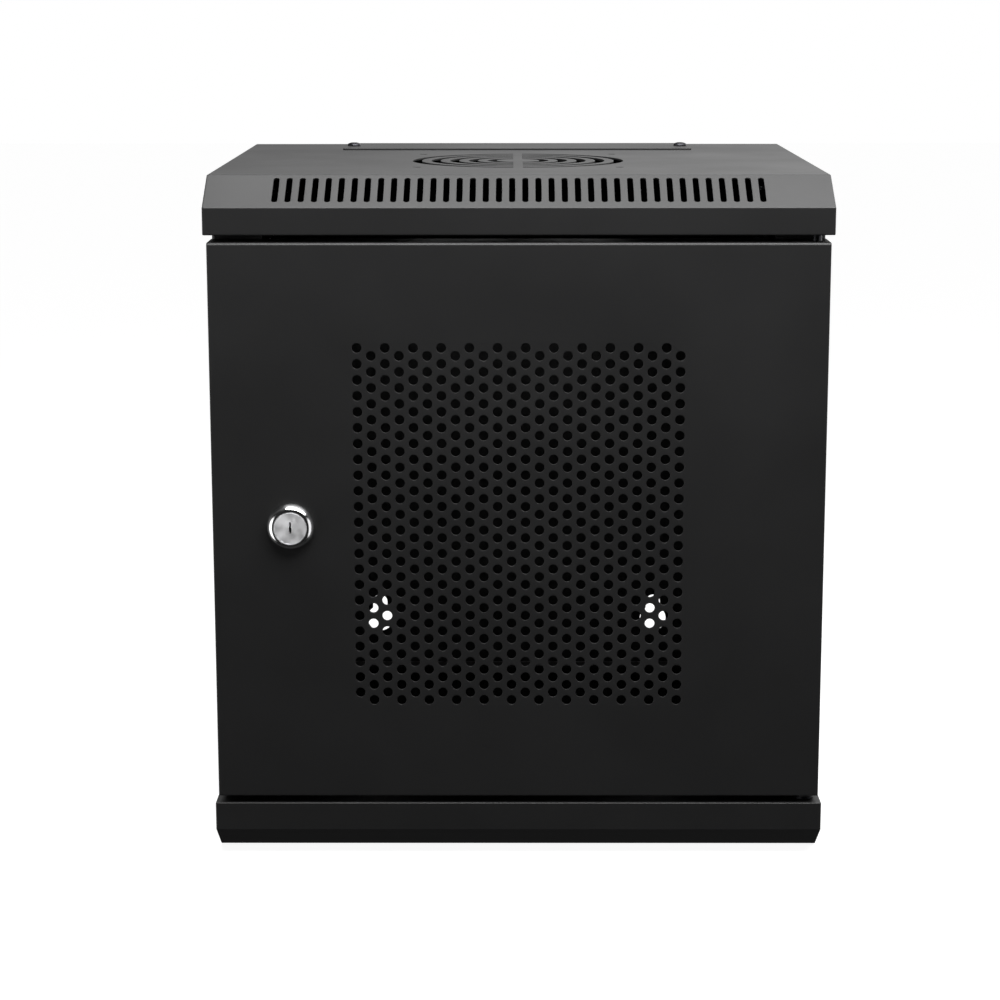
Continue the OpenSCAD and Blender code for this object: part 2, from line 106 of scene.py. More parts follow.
class CabinetSheetSettings(bpy.types.PropertyGroup):
    bend_radius: FloatProperty(
        name="Bend radius", description="Outer radius of every fold", default=1.6 * MM, unit="LENGTH")
    end_radius: FloatProperty(
        name="End radius", description="Outer radius of the edges at the two ends of a folded box",
        default=0.6 * MM, unit="LENGTH")
    bend_steps: IntProperty(
        name="Bend steps", description="Faces round each fold", default=4, min=2, max=8)
    edge_round: FloatProperty(
        name="Edge rounding", description="Width of the coated rounding on a cut edge",
        default=0.14 * MM, unit="LENGTH")
    slope_height: FloatProperty(
        name="Slope height", description="Height of the sloping front edge",
        default=14.3 * MM, unit="LENGTH")
    top_slope_depth: FloatProperty(
        name="Top slope depth", description="Depth of the top cover's slope",
        default=24.5 * MM, unit="LENGTH")
    bottom_slope_depth: FloatProperty(
        name="Bottom slope depth", description="Depth of the bottom cover's slope",
        default=20.5 * MM, unit="LENGTH")


class CabinetPatternSettings(bpy.types.PropertyGroup):
    columns: IntProperty(name="Columns", description="Columns of holes in the door", default=24, min=1)
    rows: IntProperty(name="Rows", description="Holes in each column", default=23, min=1)
    pitch: FloatProperty(
        name="Pitch", description="Distance between two holes in a column", default=8 * MM, unit="LENGTH")
    column_pitch: FloatProperty(
        name="Column pitch", description="Distance between two columns", default=6.96 * MM, unit="LENGTH")
    hole: FloatProperty(
        name="Hole", description="Diameter of a hole in the door", default=4.95 * MM, unit="LENGTH")
    hole_sides: IntProperty(name="Hole sides", description="Sides of a round hole", default=20, min=8)
    slots: IntProperty(name="Slots", description="Slots in the slope", default=38, min=1)
    slot_pitch: FloatProperty(
        name="Slot pitch", description="Distance between two slots", default=6.48 * MM, unit="LENGTH")
    slot_width: FloatProperty(
        name="Slot width", description="Width of a slot", default=3 * MM, unit="LENGTH")
    slot_length: FloatProperty(
        name="Slot length", description="Length of a slot", default=20.8 * MM, unit="LENGTH")
    slot_rise: FloatProperty(
        name="Slot rise", description="How far up the slope the slots' middles are from its own",
        default=1.1 * MM, unit="LENGTH")
    grille_radius: FloatProperty(
        name="Grille radius", description="Radius of the largest ring", default=56.5 * MM, unit="LENGTH")
    grille_pitch: FloatProperty(
        name="Ring pitch", description="Distance between two rings", default=10 * MM, unit="LENGTH")
    grille_slot: FloatProperty(
        name="Ring slot", description="Width of a ring's slot", default=5 * MM, unit="LENGTH")
    grille_y: FloatProperty(
        name="Grille place", description="Middle of the grille, front to back",
        default=-9 * MM, unit="LENGTH")
    fan_pitch: FloatProperty(
        name="Fan screws", description="Side of the square of fan screws", default=105 * MM, unit="LENGTH")


class CabinetFinishSettings(bpy.types.PropertyGroup):
    coat: FloatVectorProperty(
        name="Powder coat", description="Colour of the outer coat", subtype="COLOR",
        default=(0.0086, 0.0086, 0.0088))
    inner_coat: FloatVectorProperty(
        name="Inner coat", description="Colour of rails and supports", subtype="COLOR",
        default=(0.011, 0.011, 0.0113))
    zinc: FloatVectorProperty(
        name="Zinc", description="Colour of plated fixings", subtype="COLOR", default=(0.56, 0.57, 0.6))
    chrome: FloatVectorProperty(
        name="Chrome", description="Colour of the lock's bezel", subtype="COLOR", default=(0.85, 0.85, 0.86))
    grain: FloatProperty(
        name="Coat grain", description="Size of the coat's orange peel", default=0.55 * MM, unit="LENGTH")


class CabinetStageSettings(bpy.types.PropertyGroup):
    overhead: FloatProperty(name="Overhead light", description="Power of the softbox above", default=14.3)
    front: FloatProperty(
        name="Front light", description="Power of the small softbox above the door", default=6.3)
    above: FloatProperty(
        name="Surround above", description="Brightness of the surround above and behind", default=0.19)
    behind: FloatProperty(
        name="Surround behind", description="Brightness of the surround behind on the right", default=1.4)
    ahead: FloatProperty(
        name="Surround ahead", description="Brightness of the surround in front", default=0.02)
    sides: FloatProperty(
        name="Side panels", description="Brightness of the round white panels on both sides", default=2.1)
    below: FloatProperty(
        name="Surround below", description="Brightness of the surround below", default=0.045)
    paper_glow: FloatProperty(
        name="Paper glow", description="Light that comes through the floor's white paper", default=0.92)


# ---------------------------------------------------------------- materials


def new_material(name, colour, metallic, roughness):
    """Principled material with the numbers that are even all over set on the shader itself."""
    material = bpy.data.materials.new(name)
    material.use_nodes = True
    shader = material.node_tree.nodes["Principled BSDF"]
    shader.inputs["Base Color"].default_value = (*colour, 1)
    shader.inputs["Metallic"].default_value = metallic
    shader.inputs["Roughness"].default_value = roughness
    return material, material.node_tree, shader


def object_noise(tree, scale, detail, distortion=0.0, stretch=(1, 1, 1)):
    """Noise in the piece's own coordinates, in metres, stretched along one axis if asked."""
    coordinates = tree.nodes.new("ShaderNodeTexCoord")
    mapping = tree.nodes.new("ShaderNodeMapping")
    mapping.inputs["Scale"].default_value = stretch
    noise = tree.nodes.new("ShaderNodeTexNoise")
    noise.inputs["Scale"].default_value = scale
    noise.inputs["Detail"].default_value = detail
    noise.inputs["Distortion"].default_value = distortion
    tree.links.new(coordinates.outputs["Object"], mapping.inputs["Vector"])
    tree.links.new(mapping.outputs["Vector"], noise.inputs["Vector"])
    return noise


def spread(tree, value, lowest, highest):
    """Maps a 0 to 1 value to a range."""
    mapper = tree.nodes.new("ShaderNodeMapRange")
    mapper.inputs["From Min"].default_value = 0.3
    mapper.inputs["From Max"].default_value = 0.7
    mapper.inputs["To Min"].default_value = lowest
    mapper.inputs["To Max"].default_value = highest
    tree.links.new(value, mapper.inputs["Value"])
    return mapper.outputs["Result"]


def tint(tree, factor, dark, light):
    """Mixes two colours by a 0 to 1 value."""
    mix = tree.nodes.new("ShaderNodeMix")
    mix.data_type = "RGBA"
    mix.inputs["A"].default_value = (*dark, 1)
    mix.inputs["B"].default_value = (*light, 1)
    tree.links.new(factor, mix.inputs["Factor"])
    return mix.outputs["Result"]


def bump(tree, shader, height, strength, distance):
    """Raises the surface by a 0 to 1 height, in the shading alone."""
    node = tree.nodes.new("ShaderNodeBump")
    node.inputs["Strength"].default_value = strength
    node.inputs["Distance"].default_value = distance
    tree.links.new(height, node.inputs["Height"])
    tree.links.new(node.outputs["Normal"], shader.inputs["Normal"])


def powder_coat(name, colour, grain):
    """Fine matt coat: orange peel, faint mottling and a little unevenness in its sheen."""
    material, tree, shader = new_material(name, colour, 0.0, 0.5)
    shader.inputs["Specular IOR Level"].default_value = 0.4
    peel = object_noise(tree, 1 / grain, 3, 0.3)
    mottle = object_noise(tree, 18, 4)
    speck = object_noise(tree, 3.2 / grain, 1)
    light = tuple(c * 1.4 for c in colour)
    tree.links.new(tint(tree, speck.outputs["Fac"], tuple(c * 0.6 for c in colour), light),
                   shader.inputs["Base Color"])
    tree.links.new(spread(tree, mottle.outputs["Fac"], 0.42, 0.48), shader.inputs["Roughness"])
    bump(tree, shader, peel.outputs["Fac"], 0.35, 0.06 * MM)
    return material


def plated(name, colour, roughness, stretch, depth):
    """Bright plated metal with drawn marks along one axis."""
    material, tree, shader = new_material(name, colour, 1.0, roughness)
    marks = object_noise(tree, 900, 2, 0.0, stretch)
    haze = object_noise(tree, 160, 3)
    tree.links.new(tint(tree, haze.outputs["Fac"], tuple(c * 0.82 for c in colour), colour),
                   shader.inputs["Base Color"])
    tree.links.new(spread(tree, haze.outputs["Fac"], roughness * 0.8, roughness * 1.25),
                   shader.inputs["Roughness"])
    bump(tree, shader, marks.outputs["Fac"], 0.25, depth)
    return material


def moulded(name, colour, roughness, grain, depth):
    """Moulded plastic or rubber with a fine spark-eroded grain."""
    material, tree, shader = new_material(name, colour, 0.0, roughness)
    texture = object_noise(tree, 1 / grain, 2)
    tree.links.new(tint(tree, texture.outputs["Fac"], tuple(c * 0.85 for c in colour), colour),
                   shader.inputs["Base Color"])
    tree.links.new(spread(tree, texture.outputs["Fac"], roughness - 0.06, roughness + 0.06),
                   shader.inputs["Roughness"])
    bump(tree, shader, texture.outputs["Fac"], 0.3, depth)
    return material


def make_material(slot_name):
    """Each slot's finish, with its colour, roughness, grain and depth."""
    finish = bpy.context.scene.cabinet_finish
    makers = {
        "powder_coat": lambda n: powder_coat(n, tuple(finish.coat), finish.grain),
        "inner_coat": lambda n: powder_coat(n, tuple(finish.inner_coat), finish.grain * 1.2),
        "black_screw": lambda n: plated(n, (0.05, 0.05, 0.055), 0.34, (1, 1, 6), 0.01 * MM),
        "zinc_plate": lambda n: plated(n, tuple(finish.zinc), 0.3, (1, 1, 5), 0.02 * MM),
        "satin_chrome": lambda n: plated(n, tuple(finish.chrome), 0.13, (1, 9, 1), 0.004 * MM),
        "plug_face": lambda n: plated(n, (0.88, 0.88, 0.89), 0.58, (7, 7, 1), 0.012 * MM),
        "rubber": lambda n: moulded(n, (0.018, 0.018, 0.018), 0.72, 0.3 * MM, 0.04 * MM),
        "knob_plastic": lambda n: moulded(n, (0.02, 0.02, 0.022), 0.5, 0.25 * MM, 0.03 * MM),
        "nylon": lambda n: moulded(n, (0.022, 0.022, 0.022), 0.45, 0.4 * MM, 0.02 * MM),
        "brass": lambda n: plated(n, (0.68, 0.52, 0.24), 0.28, (1, 1, 5), 0.015 * MM),
    }
    return makers[slot_name](slot_name + "_finish")


def material(slot_name):
    """The slot's own finish. The frame's plain materials have the slots' bare names."""
    return bpy.data.materials.get(slot_name + "_finish") or make_material(slot_name)


# ---------------------------------------------------------------- node trees


def node_tree(name, inputs):
    """Geometry Nodes tree with named inputs and one geometry output."""
    tree = bpy.data.node_groups.new(name, "GeometryNodeTree")
    for label, kind, value in inputs:
        item = tree.interface.new_socket(name=label, in_out="INPUT", socket_type=kind)
        if value is not None:
            item.default_value = value
    tree.interface.new_socket(name="Geometry", in_out="OUTPUT", socket_type="NodeSocketGeometry")
    return tree, tree.nodes.new("NodeGroupInput"), tree.nodes.new("NodeGroupOutput")


def wire(tree, *pairs):
    for start, end in pairs:
        tree.links.new(start, end)


def math_node(tree, operation, first, second=None):
    node = tree.nodes.new("ShaderNodeMath")
    node.operation = operation
    for slot_index, value in enumerate((first, second)):
        if isinstance(value, (int, float)):
            node.inputs[slot_index].default_value = value
        elif value is not None:
            tree.links.new(value, node.inputs[slot_index])
    return node.outputs[0]


def end_tree(tree, geometry, given, output):
    """Every tree ends in real geometry with its material set."""
    realize = tree.nodes.new("GeometryNodeRealizeInstances")
    paint = tree.nodes.new("GeometryNodeSetMaterial")
    wire(tree, (geometry, realize.inputs[0]), (realize.outputs[0], paint.inputs["Geometry"]),
         (given.outputs["Material"], paint.inputs["Material"]), (paint.outputs[0], output.inputs[0]))


def punched_sheet_tree():
    """Flat rectangle with a staggered pattern of slots or holes, and any other outlines given."""
    name = "Punched sheet"
    if name in bpy.data.node_groups:
        return bpy.data.node_groups[name]
    number, whole = "NodeSocketFloat", "NodeSocketInt"
    tree, given, output = node_tree(name, [
        ("Other outlines", "NodeSocketGeometry", None), ("Material", "NodeSocketMaterial", None),
        ("Width", number, 0.1), ("Height", number, 0.1), ("Columns", whole, 0), ("Rows", whole, 0),
        ("Column pitch", number, 0.01), ("Row pitch", number, 0.01), ("Stagger", number, 0.0),
        ("Pattern height", number, 0.0), ("Hole width", number, 0.005), ("Hole length", number, 0.005),
        ("Hole sides", whole, 20)])
    get = given.outputs
    hole = tree.nodes.new("GeometryNodeMeshCircle")
    stretch = tree.nodes.new("GeometryNodeSetPosition")
    place = tree.nodes.new("GeometryNodeInputPosition")
    split = tree.nodes.new("ShaderNodeSeparateXYZ")
    lift = tree.nodes.new("ShaderNodeCombineXYZ")
    straight = math_node(tree, "SUBTRACT", get["Hole length"], get["Hole width"])
    half_straight = math_node(tree, "MULTIPLY", straight, 0.5)
    wire(tree, (get["Hole sides"], hole.inputs["Vertices"]),
         (math_node(tree, "MULTIPLY", get["Hole width"], 0.5), hole.inputs["Radius"]),
         (hole.outputs[0], stretch.inputs["Geometry"]), (place.outputs[0], split.inputs[0]))
    # The snap keeps the two points on the middle line out of both rounded ends
    side = math_node(tree, "SIGN", math_node(tree, "SNAP", split.outputs["Y"], 1e-6))
    wire(tree, (math_node(tree, "MULTIPLY", side, half_straight), lift.inputs["Y"]),
         (lift.outputs[0], stretch.inputs["Offset"]))

    grid = tree.nodes.new("GeometryNodeMeshGrid")
    shift = tree.nodes.new("GeometryNodeSetPosition")
    step = tree.nodes.new("ShaderNodeCombineXYZ")
    index = tree.nodes.new("GeometryNodeInputIndex")
    gaps_x = math_node(tree, "SUBTRACT", get["Columns"], 1)
    gaps_y = math_node(tree, "SUBTRACT", get["Rows"], 1)
    counted = math_node(tree, "ADD", index.outputs[0], 0.5)
    column = math_node(tree, "FLOOR", math_node(tree, "DIVIDE", counted, get["Rows"]))
    odd = math_node(tree, "MODULO", column, 2)
    swing = math_node(tree, "SUBTRACT", 1, math_node(tree, "MULTIPLY", odd, 2))
    rise = math_node(tree, "ADD", math_node(tree, "MULTIPLY", swing, get["Stagger"]), get["Pattern height"])
    wire(tree, (math_node(tree, "MULTIPLY", gaps_x, get["Column pitch"]), grid.inputs["Size X"]),
         (math_node(tree, "MULTIPLY", gaps_y, get["Row pitch"]), grid.inputs["Size Y"]),
         (get["Columns"], grid.inputs["Vertices X"]), (get["Rows"], grid.inputs["Vertices Y"]),
         (grid.outputs["Mesh"], shift.inputs["Geometry"]), (rise, step.inputs["Y"]),
         (step.outputs[0], shift.inputs["Offset"]))

    copies = tree.nodes.new("GeometryNodeInstanceOnPoints")
    real = tree.nodes.new("GeometryNodeRealizeInstances")
    outlines = tree.nodes.new("GeometryNodeJoinGeometry")
    curves = tree.nodes.new("GeometryNodeMeshToCurve")
    border = tree.nodes.new("GeometryNodeCurvePrimitiveQuadrilateral")
    everything = tree.nodes.new("GeometryNodeJoinGeometry")
    fill = tree.nodes.new("GeometryNodeFillCurve")
    wire(tree, (shift.outputs[0], copies.inputs["Points"]), (stretch.outputs[0], copies.inputs["Instance"]),
         (copies.outputs[0], real.inputs[0]), (real.outputs[0], outlines.inputs[0]),
         (get["Other outlines"], outlines.inputs[0]), (outlines.outputs[0], curves.inputs["Mesh"]),
         (get["Width"], border.inputs["Width"]), (get["Height"], border.inputs["Height"]),
         (border.outputs[0], everything.inputs[0]), (curves.outputs[0], everything.inputs[0]),
         (everything.outputs[0], fill.inputs["Curve"]))
    end_tree(tree, fill.outputs[0], given, output)
    return tree


def fixings_tree():
    """A fixing on each point, standing along the point's own direction and turned at random."""
    name = "Fixings on points"
    if name in bpy.data.node_groups:
        return bpy.data.node_groups[name]
    tree, given, output = node_tree(name, [
        ("Points", "NodeSocketGeometry", None), ("Fixing", "NodeSocketObject", None),
        ("Turn", "NodeSocketFloat", math.pi), ("Seed", "NodeSocketInt", 4),
        ("Material", "NodeSocketMaterial", None)])
    get = given.outputs
    fixing = tree.nodes.new("GeometryNodeObjectInfo")
    facing = tree.nodes.new("GeometryNodeInputNamedAttribute")
    facing.data_type = "FLOAT_VECTOR"
    facing.inputs["Name"].default_value = "facing"
    align = tree.nodes.new("FunctionNodeAlignRotationToVector")
    align.axis = "Z"
    copies = tree.nodes.new("GeometryNodeInstanceOnPoints")
    chance = tree.nodes.new("FunctionNodeRandomValue")
    chance.data_type = "FLOAT"
    turn = tree.nodes.new("ShaderNodeCombineXYZ")
    rotate = tree.nodes.new("GeometryNodeRotateInstances")
    wire(tree, (get["Fixing"], fixing.inputs["Object"]),
         (facing.outputs["Attribute"], align.inputs["Vector"]),
         (get["Points"], copies.inputs["Points"]), (fixing.outputs["Geometry"], copies.inputs["Instance"]),
         (align.outputs[0], copies.inputs["Rotation"]), (get["Turn"], chance.inputs[3]),
         (get["Seed"], chance.inputs["Seed"]), (chance.outputs[1], turn.inputs["Z"]),
         (copies.outputs[0], rotate.inputs["Instances"]), (turn.outputs[0], rotate.inputs["Rotation"]))
    end_tree(tree, rotate.outputs[0], given, output)
    return tree


def set_inputs(modifier, values):
    """Gives a modifier its inputs by the identifiers that its tree's named sockets have."""
    found = {item.name: item.identifier for item in modifier.node_group.interface.items_tree
             if item.in_out == "INPUT"}
    for label, value in values.items():
        modifier[found[label]] = value


def plain_mesh(obj):
    """Turns an object and its modifiers into a plain mesh."""
    depsgraph = bpy.context.evaluated_depsgraph_get()
    mesh = bpy.data.meshes.new_from_object(obj.evaluated_get(depsgraph), depsgraph=depsgraph)
    before = obj.data
    obj.modifiers.clear()
    obj.data = mesh
    bpy.data.meshes.remove(before)
    return mesh


def new_object(name, mesh):
    obj = bpy.data.objects.new(name, mesh)
    bpy.context.scene.collection.objects.link(obj)
    return obj


def discard(obj):
    """Removes a helper object with its mesh."""
    mesh = obj.data
    bpy.data.objects.remove(obj)
    bpy.data.meshes.remove(mesh)


# ---------------------------------------------------------------- outlines


def arc(cx, cy, radius, start, end, steps):
    return [(cx + radius * math.cos(start + (end - start) * i / steps),
             cy + radius * math.sin(start + (end - start) * i / steps)) for i in range(steps + 1)]


def circle(cx, cy, radius, steps=24):
    return arc(cx, cy, radius, 0, 2 * math.pi, steps)[:-1]


def rectangle(cx, cy, width, height, radius=0.0, steps=4):
    if radius == 0:
        return [(cx + x * width / 2, cy + y * height / 2) for x, y in ((1, 1), (-1, 1), (-1, -1), (1, -1))]
    points = []
    for i, (x, y) in enumerate(((1, 1), (-1, 1), (-1, -1), (1, -1))):
        points += arc(cx + x * (width / 2 - radius), cy + y * (height / 2 - radius), radius,
                      i * math.pi / 2, (i + 1) * math.pi / 2, steps)
    return points


def half_ring(cy, outer, inner, gap, side, steps):
    """Curved slot on one side of a straight spoke that is gap wide."""

    def bow(radius, forward):
        edge = math.asin(gap / 2 / radius)
        points = arc(0, cy, radius, -math.pi / 2 + edge, math.pi / 2 - edge, steps)
        return points if forward else points[::-1]
    loop = bow(outer, True) + bow(inner, False)
    return [(side * x, y) for x, y in loop]


def keyhole(cx, cy, radius, slot, rise):
    """Round entry with a narrower slot above it, whose hanging point is rise above the middle."""
    edge = math.asin(slot / 2 / radius)
    entry = arc(cx, cy, radius, math.pi / 2 + edge, 2.5 * math.pi - edge, 28)
    return entry + arc(cx, cy + rise, slot / 2, 0, math.pi, 10)


def rounded_outline(corners, radii, reach, inset, steps):
    """Closed outline, inset by a depth, with an arc at every corner and a point on either side of it.

    Those two points are where an arc of the reach's radius would start and end."""
    points = []
    count = len(corners)
    for i, (corner, radius) in enumerate(zip(corners, radii)):
        before = (Vector(corner) - Vector(corners[i - 1])).normalized()
        after = (Vector(corners[(i + 1) % count]) - Vector(corner)).normalized()
        first = Vector((before.y, -before.x))
        second = Vector((after.y, -after.x))
        middle = Vector(corner) - (first + second) * max(radius, inset) / (1 + first.dot(second))
        start = math.atan2(first.y, first.x)
        turn = math.atan2(first.x * second.y - first.y * second.x, first.dot(second))
        run = reach * math.tan(turn / 2)
        points.append(tuple(Vector(corner) - before * run - first * inset))
        points += arc(middle.x, middle.y, max(radius - inset, 0), start, start + turn, steps)
        points.append(tuple(Vector(corner) + after * run - second * inset))
    return points


# ---------------------------------------------------------------- sheet metal


def filled(loops):
    """Triangles that fill the first loop less the others, as (points, faces)."""
    points, rings = [], []
    for loop in loops:
        rings.append(list(range(len(points), len(points) + len(loop))))
        points += [Vector(p) for p in loop]
    found = delaunay_2d_cdt(points, [], rings, 2, 1e-9)
    return [tuple(p) for p in found[0]], [tuple(f) for f in found[2]]


def add_plate(bm, points, faces, thickness, matrix, border=None):
    """Gives a flat fill its thickness. Walls are left out along the border rectangle."""

    def signed(face):
        ring = [points[i] for i in face]
        return sum(a[0] * b[1] - b[0] * a[1] for a, b in zip(ring, ring[1:] + ring[:1]))
    top = [bm.verts.new(matrix @ Vector((x, y, 0))) for x, y in points]
    under = [bm.verts.new(matrix @ Vector((x, y, -thickness))) for x, y in points]
    used = {}
    for face in faces:
        face = face if signed(face) > 0 else face[::-1]
        bm.faces.new([top[i] for i in face])
        bm.faces.new([under[i] for i in reversed(face)])
        for a, b in zip(face, face[1:] + face[:1]):
            used[(a, b)] = True
    for a, b in used:
        if (b, a) in used:
            continue
        if border and any(abs(abs(points[a][k]) - border[k] / 2) < MERGE
                          and abs(abs(points[b][k]) - border[k] / 2) < MERGE for k in (0, 1)):
            continue
        bm.faces.new([top[b], top[a], under[a], under[b]])


def punched(width, height, outlines, **pattern):
    """Flat sheet with outlines and a repeated pattern cut from it, as (points, faces)."""
    mesh = bpy.data.meshes.new("outlines")
    points, edges = [], []
    for loop in outlines:
        first = len(points)
        points += [(x, y, 0) for x, y in loop]
        edges += [(first + i, first + (i + 1) % len(loop)) for i in range(len(loop))]
    mesh.from_pydata(points, edges, [])
    obj = new_object("punching", mesh)
    modifier = obj.modifiers.new("Punch", "NODES")
    modifier.node_group = punched_sheet_tree()
    named = {label.replace("_", " ").capitalize(): value for label, value in pattern.items()}
    set_inputs(modifier, {"Width": width, "Height": height, "Material": material("powder_coat"), **named})
    flat = plain_mesh(obj)
    result = [(v.co.x, v.co.y) for v in flat.vertices], [tuple(p.vertices) for p in flat.polygons]
    discard(obj)
    return result


def folded_box(bm, corners, half_w, cuts, crisp):
    """Closed box of sheet, made from an outline in Y and Z and folded at every edge.

    crisp lists the corners that are folded as tightly as the box's two ends.
    cuts gives, for some of the outline's edges, a function of (width, height, middle) that
    returns that flat face as a punched sheet."""
    settings = bpy.context.scene.cabinet_sheet
    radius, steps = settings.bend_radius, settings.bend_steps
    radii = [settings.end_radius if i in crisp else radius for i in range(len(corners))]
    per_corner = steps + 3
    per_ring = len(corners) * per_corner
    for inset in (0, SHEET):
        end = max(settings.end_radius - inset, 0)
        stations = [(half_w - radius, inset)]
        for k in range(steps + 1):
            angle = math.pi / 2 * k / steps
            stations.append((half_w - inset - end * (1 - math.sin(angle)),
                             inset + end * (1 - math.cos(angle))))
        rings = []
        for x, depth in [(-x, depth) for x, depth in reversed(stations)] + stations:
            outline = rounded_outline(corners, radii, radius, depth, steps)
            rings.append([bm.verts.new((x, y, z)) for y, z in outline])
        flip = inset > 0
        for r in range(len(rings) - 1):
            for i in range(per_ring):
                j = (i + 1) % per_ring
                is_flat = i % per_corner == per_corner - 1
                if r == steps + 1 and is_flat and i // per_corner in cuts:
                    continue
                face = [rings[r][i], rings[r + 1][i], rings[r + 1][j], rings[r][j]]
                bm.faces.new(face[::-1] if not flip else face)
        for ring, outward in ((rings[0], flip), (rings[-1], not flip)):
            bm.faces.new(ring if outward else ring[::-1])
    flat_w = 2 * (half_w - radius)
    ring = rounded_outline(corners, radii, radius, 0, steps)
    for edge, cut in cuts.items():
        start = Vector(ring[(edge + 1) * per_corner - 1])
        end = Vector(ring[(edge + 1) * per_corner % per_ring])
        along = (start - end).normalized()
        middle = (start + end) / 2
        up = Vector((0, along.x, along.y))
        out = Vector((1, 0, 0)).cross(up)
        turned = Matrix(((1, 0, 0), up, out)).transposed().to_4x4()
        matrix = Matrix.Translation((0, middle.x, middle.y)) @ turned
        height = (start - end).length
        points, faces = cut(flat_w, height, middle)
        add_plate(bm, points, faces, SHEET, matrix, (flat_w, height))
    bmesh.ops.remove_doubles(bm, verts=bm.verts, dist=MERGE)


def finish_piece(name, bm, body, nodes, slot_name, edge=None, angle=50):
    """Rounds the cut edges, keeps flats flat, and hands the piece to its body and nodes."""
    mesh = bpy.data.meshes.new(name)
    bm.to_mesh(mesh)
    bm.free()
    mesh.polygons.foreach_set("use_smooth", [True] * len(mesh.polygons))
    mesh.materials.append(material(slot_name))
    obj = new_object(name, mesh)
    if edge is None:
        edge = bpy.context.scene.cabinet_sheet.edge_round
    if edge > 0:
        bevel = obj.modifiers.new("Coated edges", "BEVEL")
        bevel.width = edge
        bevel.segments = 1
        bevel.limit_method = "ANGLE"
        bevel.angle_limit = math.radians(angle)
        bevel.use_clamp_overlap = True
    flats = obj.modifiers.new("Flat faces", "WEIGHTED_NORMAL")
    flats.keep_sharp = True
    flats.weight = 90
    plain_mesh(obj)
    obj.data.name = name
    hand_over(obj, body, nodes)
    return obj


def hand_over(obj, body, nodes):
    """Says which body a piece moves with and hides the nodes it stands for."""
    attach(obj, body)
    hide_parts(*nodes)


def cad_bmesh(node):
    """The node's own shape, with its loose triangles joined into clean faces."""
    bm = bmesh.new()
    bm.from_mesh(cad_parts[node].data)
    bmesh.ops.remove_doubles(bm, verts=bm.verts, dist=MERGE)
    bmesh.ops.dissolve_limit(bm, angle_limit=math.radians(0.4), verts=bm.verts, edges=bm.edges,
                             use_dissolve_boundaries=False)
    return bm


def solids(node):
    """Lowest and highest corner of each separate solid in a node, from low to high."""
    bm = bmesh.new()
    bm.from_mesh(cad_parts[node].data)
    bmesh.ops.remove_doubles(bm, verts=bm.verts, dist=MERGE)
    waiting = set(bm.verts)
    found = []
    while waiting:
        group, edge = set(), {waiting.pop()}
        while edge:
            group |= edge
            edge = {e.other_vert(v) for v in edge for e in v.link_edges} - group
        waiting -= group
        places = [v.co for v in group]
        found.append((Vector([min(p[k] for p in places) for k in range(3)]),
                      Vector([max(p[k] for p in places) for k in range(3)])))
    bm.free()
    return sorted(found, key=lambda pair: (round(pair[0].z, 4), round(pair[0].x, 4), round(pair[0].y, 4)))


# ---------------------------------------------------------------- turned parts


def lathe(bm, profile, steps=32, shape=None):
    """Turns (radius, height) pairs round Z. shape(angle, k) may change the radius of pair k."""
    rings = []
    for k, (radius, height) in enumerate(profile):
        if radius == 0:
            rings.append([bm.verts.new((0, 0, height))])
            continue
        ring = []
        for i in range(steps):
            angle = 2 * math.pi * i / steps
            r = radius * (shape(angle, k) if shape else 1)
            ring.append(bm.verts.new((r * math.cos(angle), r * math.sin(angle), height)))
        rings.append(ring)
    for first, second in zip(rings, rings[1:]):
        for i in range(steps):
            j = (i + 1) % steps
            a, b = first[i % len(first)], first[j % len(first)]
            c, d = second[j % len(second)], second[i % len(second)]
            corners = [v for n, v in enumerate((a, b, c, d)) if v not in (a, b, c, d)[:n]]
            bm.faces.new(corners)
    return rings


def close_ring(bm, rings):
    """Joins the last ring of a lathe back to its first, for a part with a bore."""
    first, second = rings[-1], rings[0]
    for i in range(len(first)):
        j = (i + 1) % len(first)
        bm.faces.new((first[i], first[j], second[j], second[i]))


def bored_ring(bm, bore, outer, height, soft, steps=32):
    """Flat ring with a softened outer rim, from z = 0 up."""
    close_ring(bm, lathe(bm, [(outer - soft, 0), (outer, soft), (outer, height - soft),
                              (outer - soft, height), (bore, height), (bore, 0)], steps))


def bored_hexagon(bm, bore, flats, height, chamfer, taper, steps):
    """Hexagon nut whose corners are chamfered to a circle, from z = 0 up."""
    corner = flats / math.sqrt(3)
    outside = [(corner * taper, 0), (corner, chamfer), (corner, height - chamfer), (corner * taper, height)]
    close_ring(bm, lathe(bm, outside + [(bore, height), (bore, 0)], steps,
                         lambda angle, k: hexagon(angle) if k in (1, 2) else 1))


def hexagon(angle):
    """Radius of a hexagon of unit across-corners radius."""
    part = (angle + math.pi / 6) % (math.pi / 3) - math.pi / 6
    return math.cos(math.pi / 6) / math.cos(part)


def thread(radius, pitch, start, end):
    """Profile pairs of a screw thread, from start to end along the axis."""
    count = max(1, round(abs(end - start) / pitch))
    step = (end - start) / count
    depth = pitch * 0.45
    pairs = []
    for i in range(count):
        pairs += [(radius - depth, start + step * i), (radius, start + step * (i + 0.4)),
                  (radius, start + step * (i + 0.55))]
    return pairs + [(radius - depth, end)]


def as_object(name, build):
    """Template made by a function that fills an empty mesh."""
    bm = bmesh.new()
    build(bm)
    bmesh.ops.remove_doubles(bm, verts=bm.verts, dist=MERGE / 4)
    bmesh.ops.recalc_face_normals(bm, faces=bm.faces)
    mesh = bpy.data.meshes.new(name)
    bm.to_mesh(mesh)
    bm.free()
    return new_object(name, mesh)


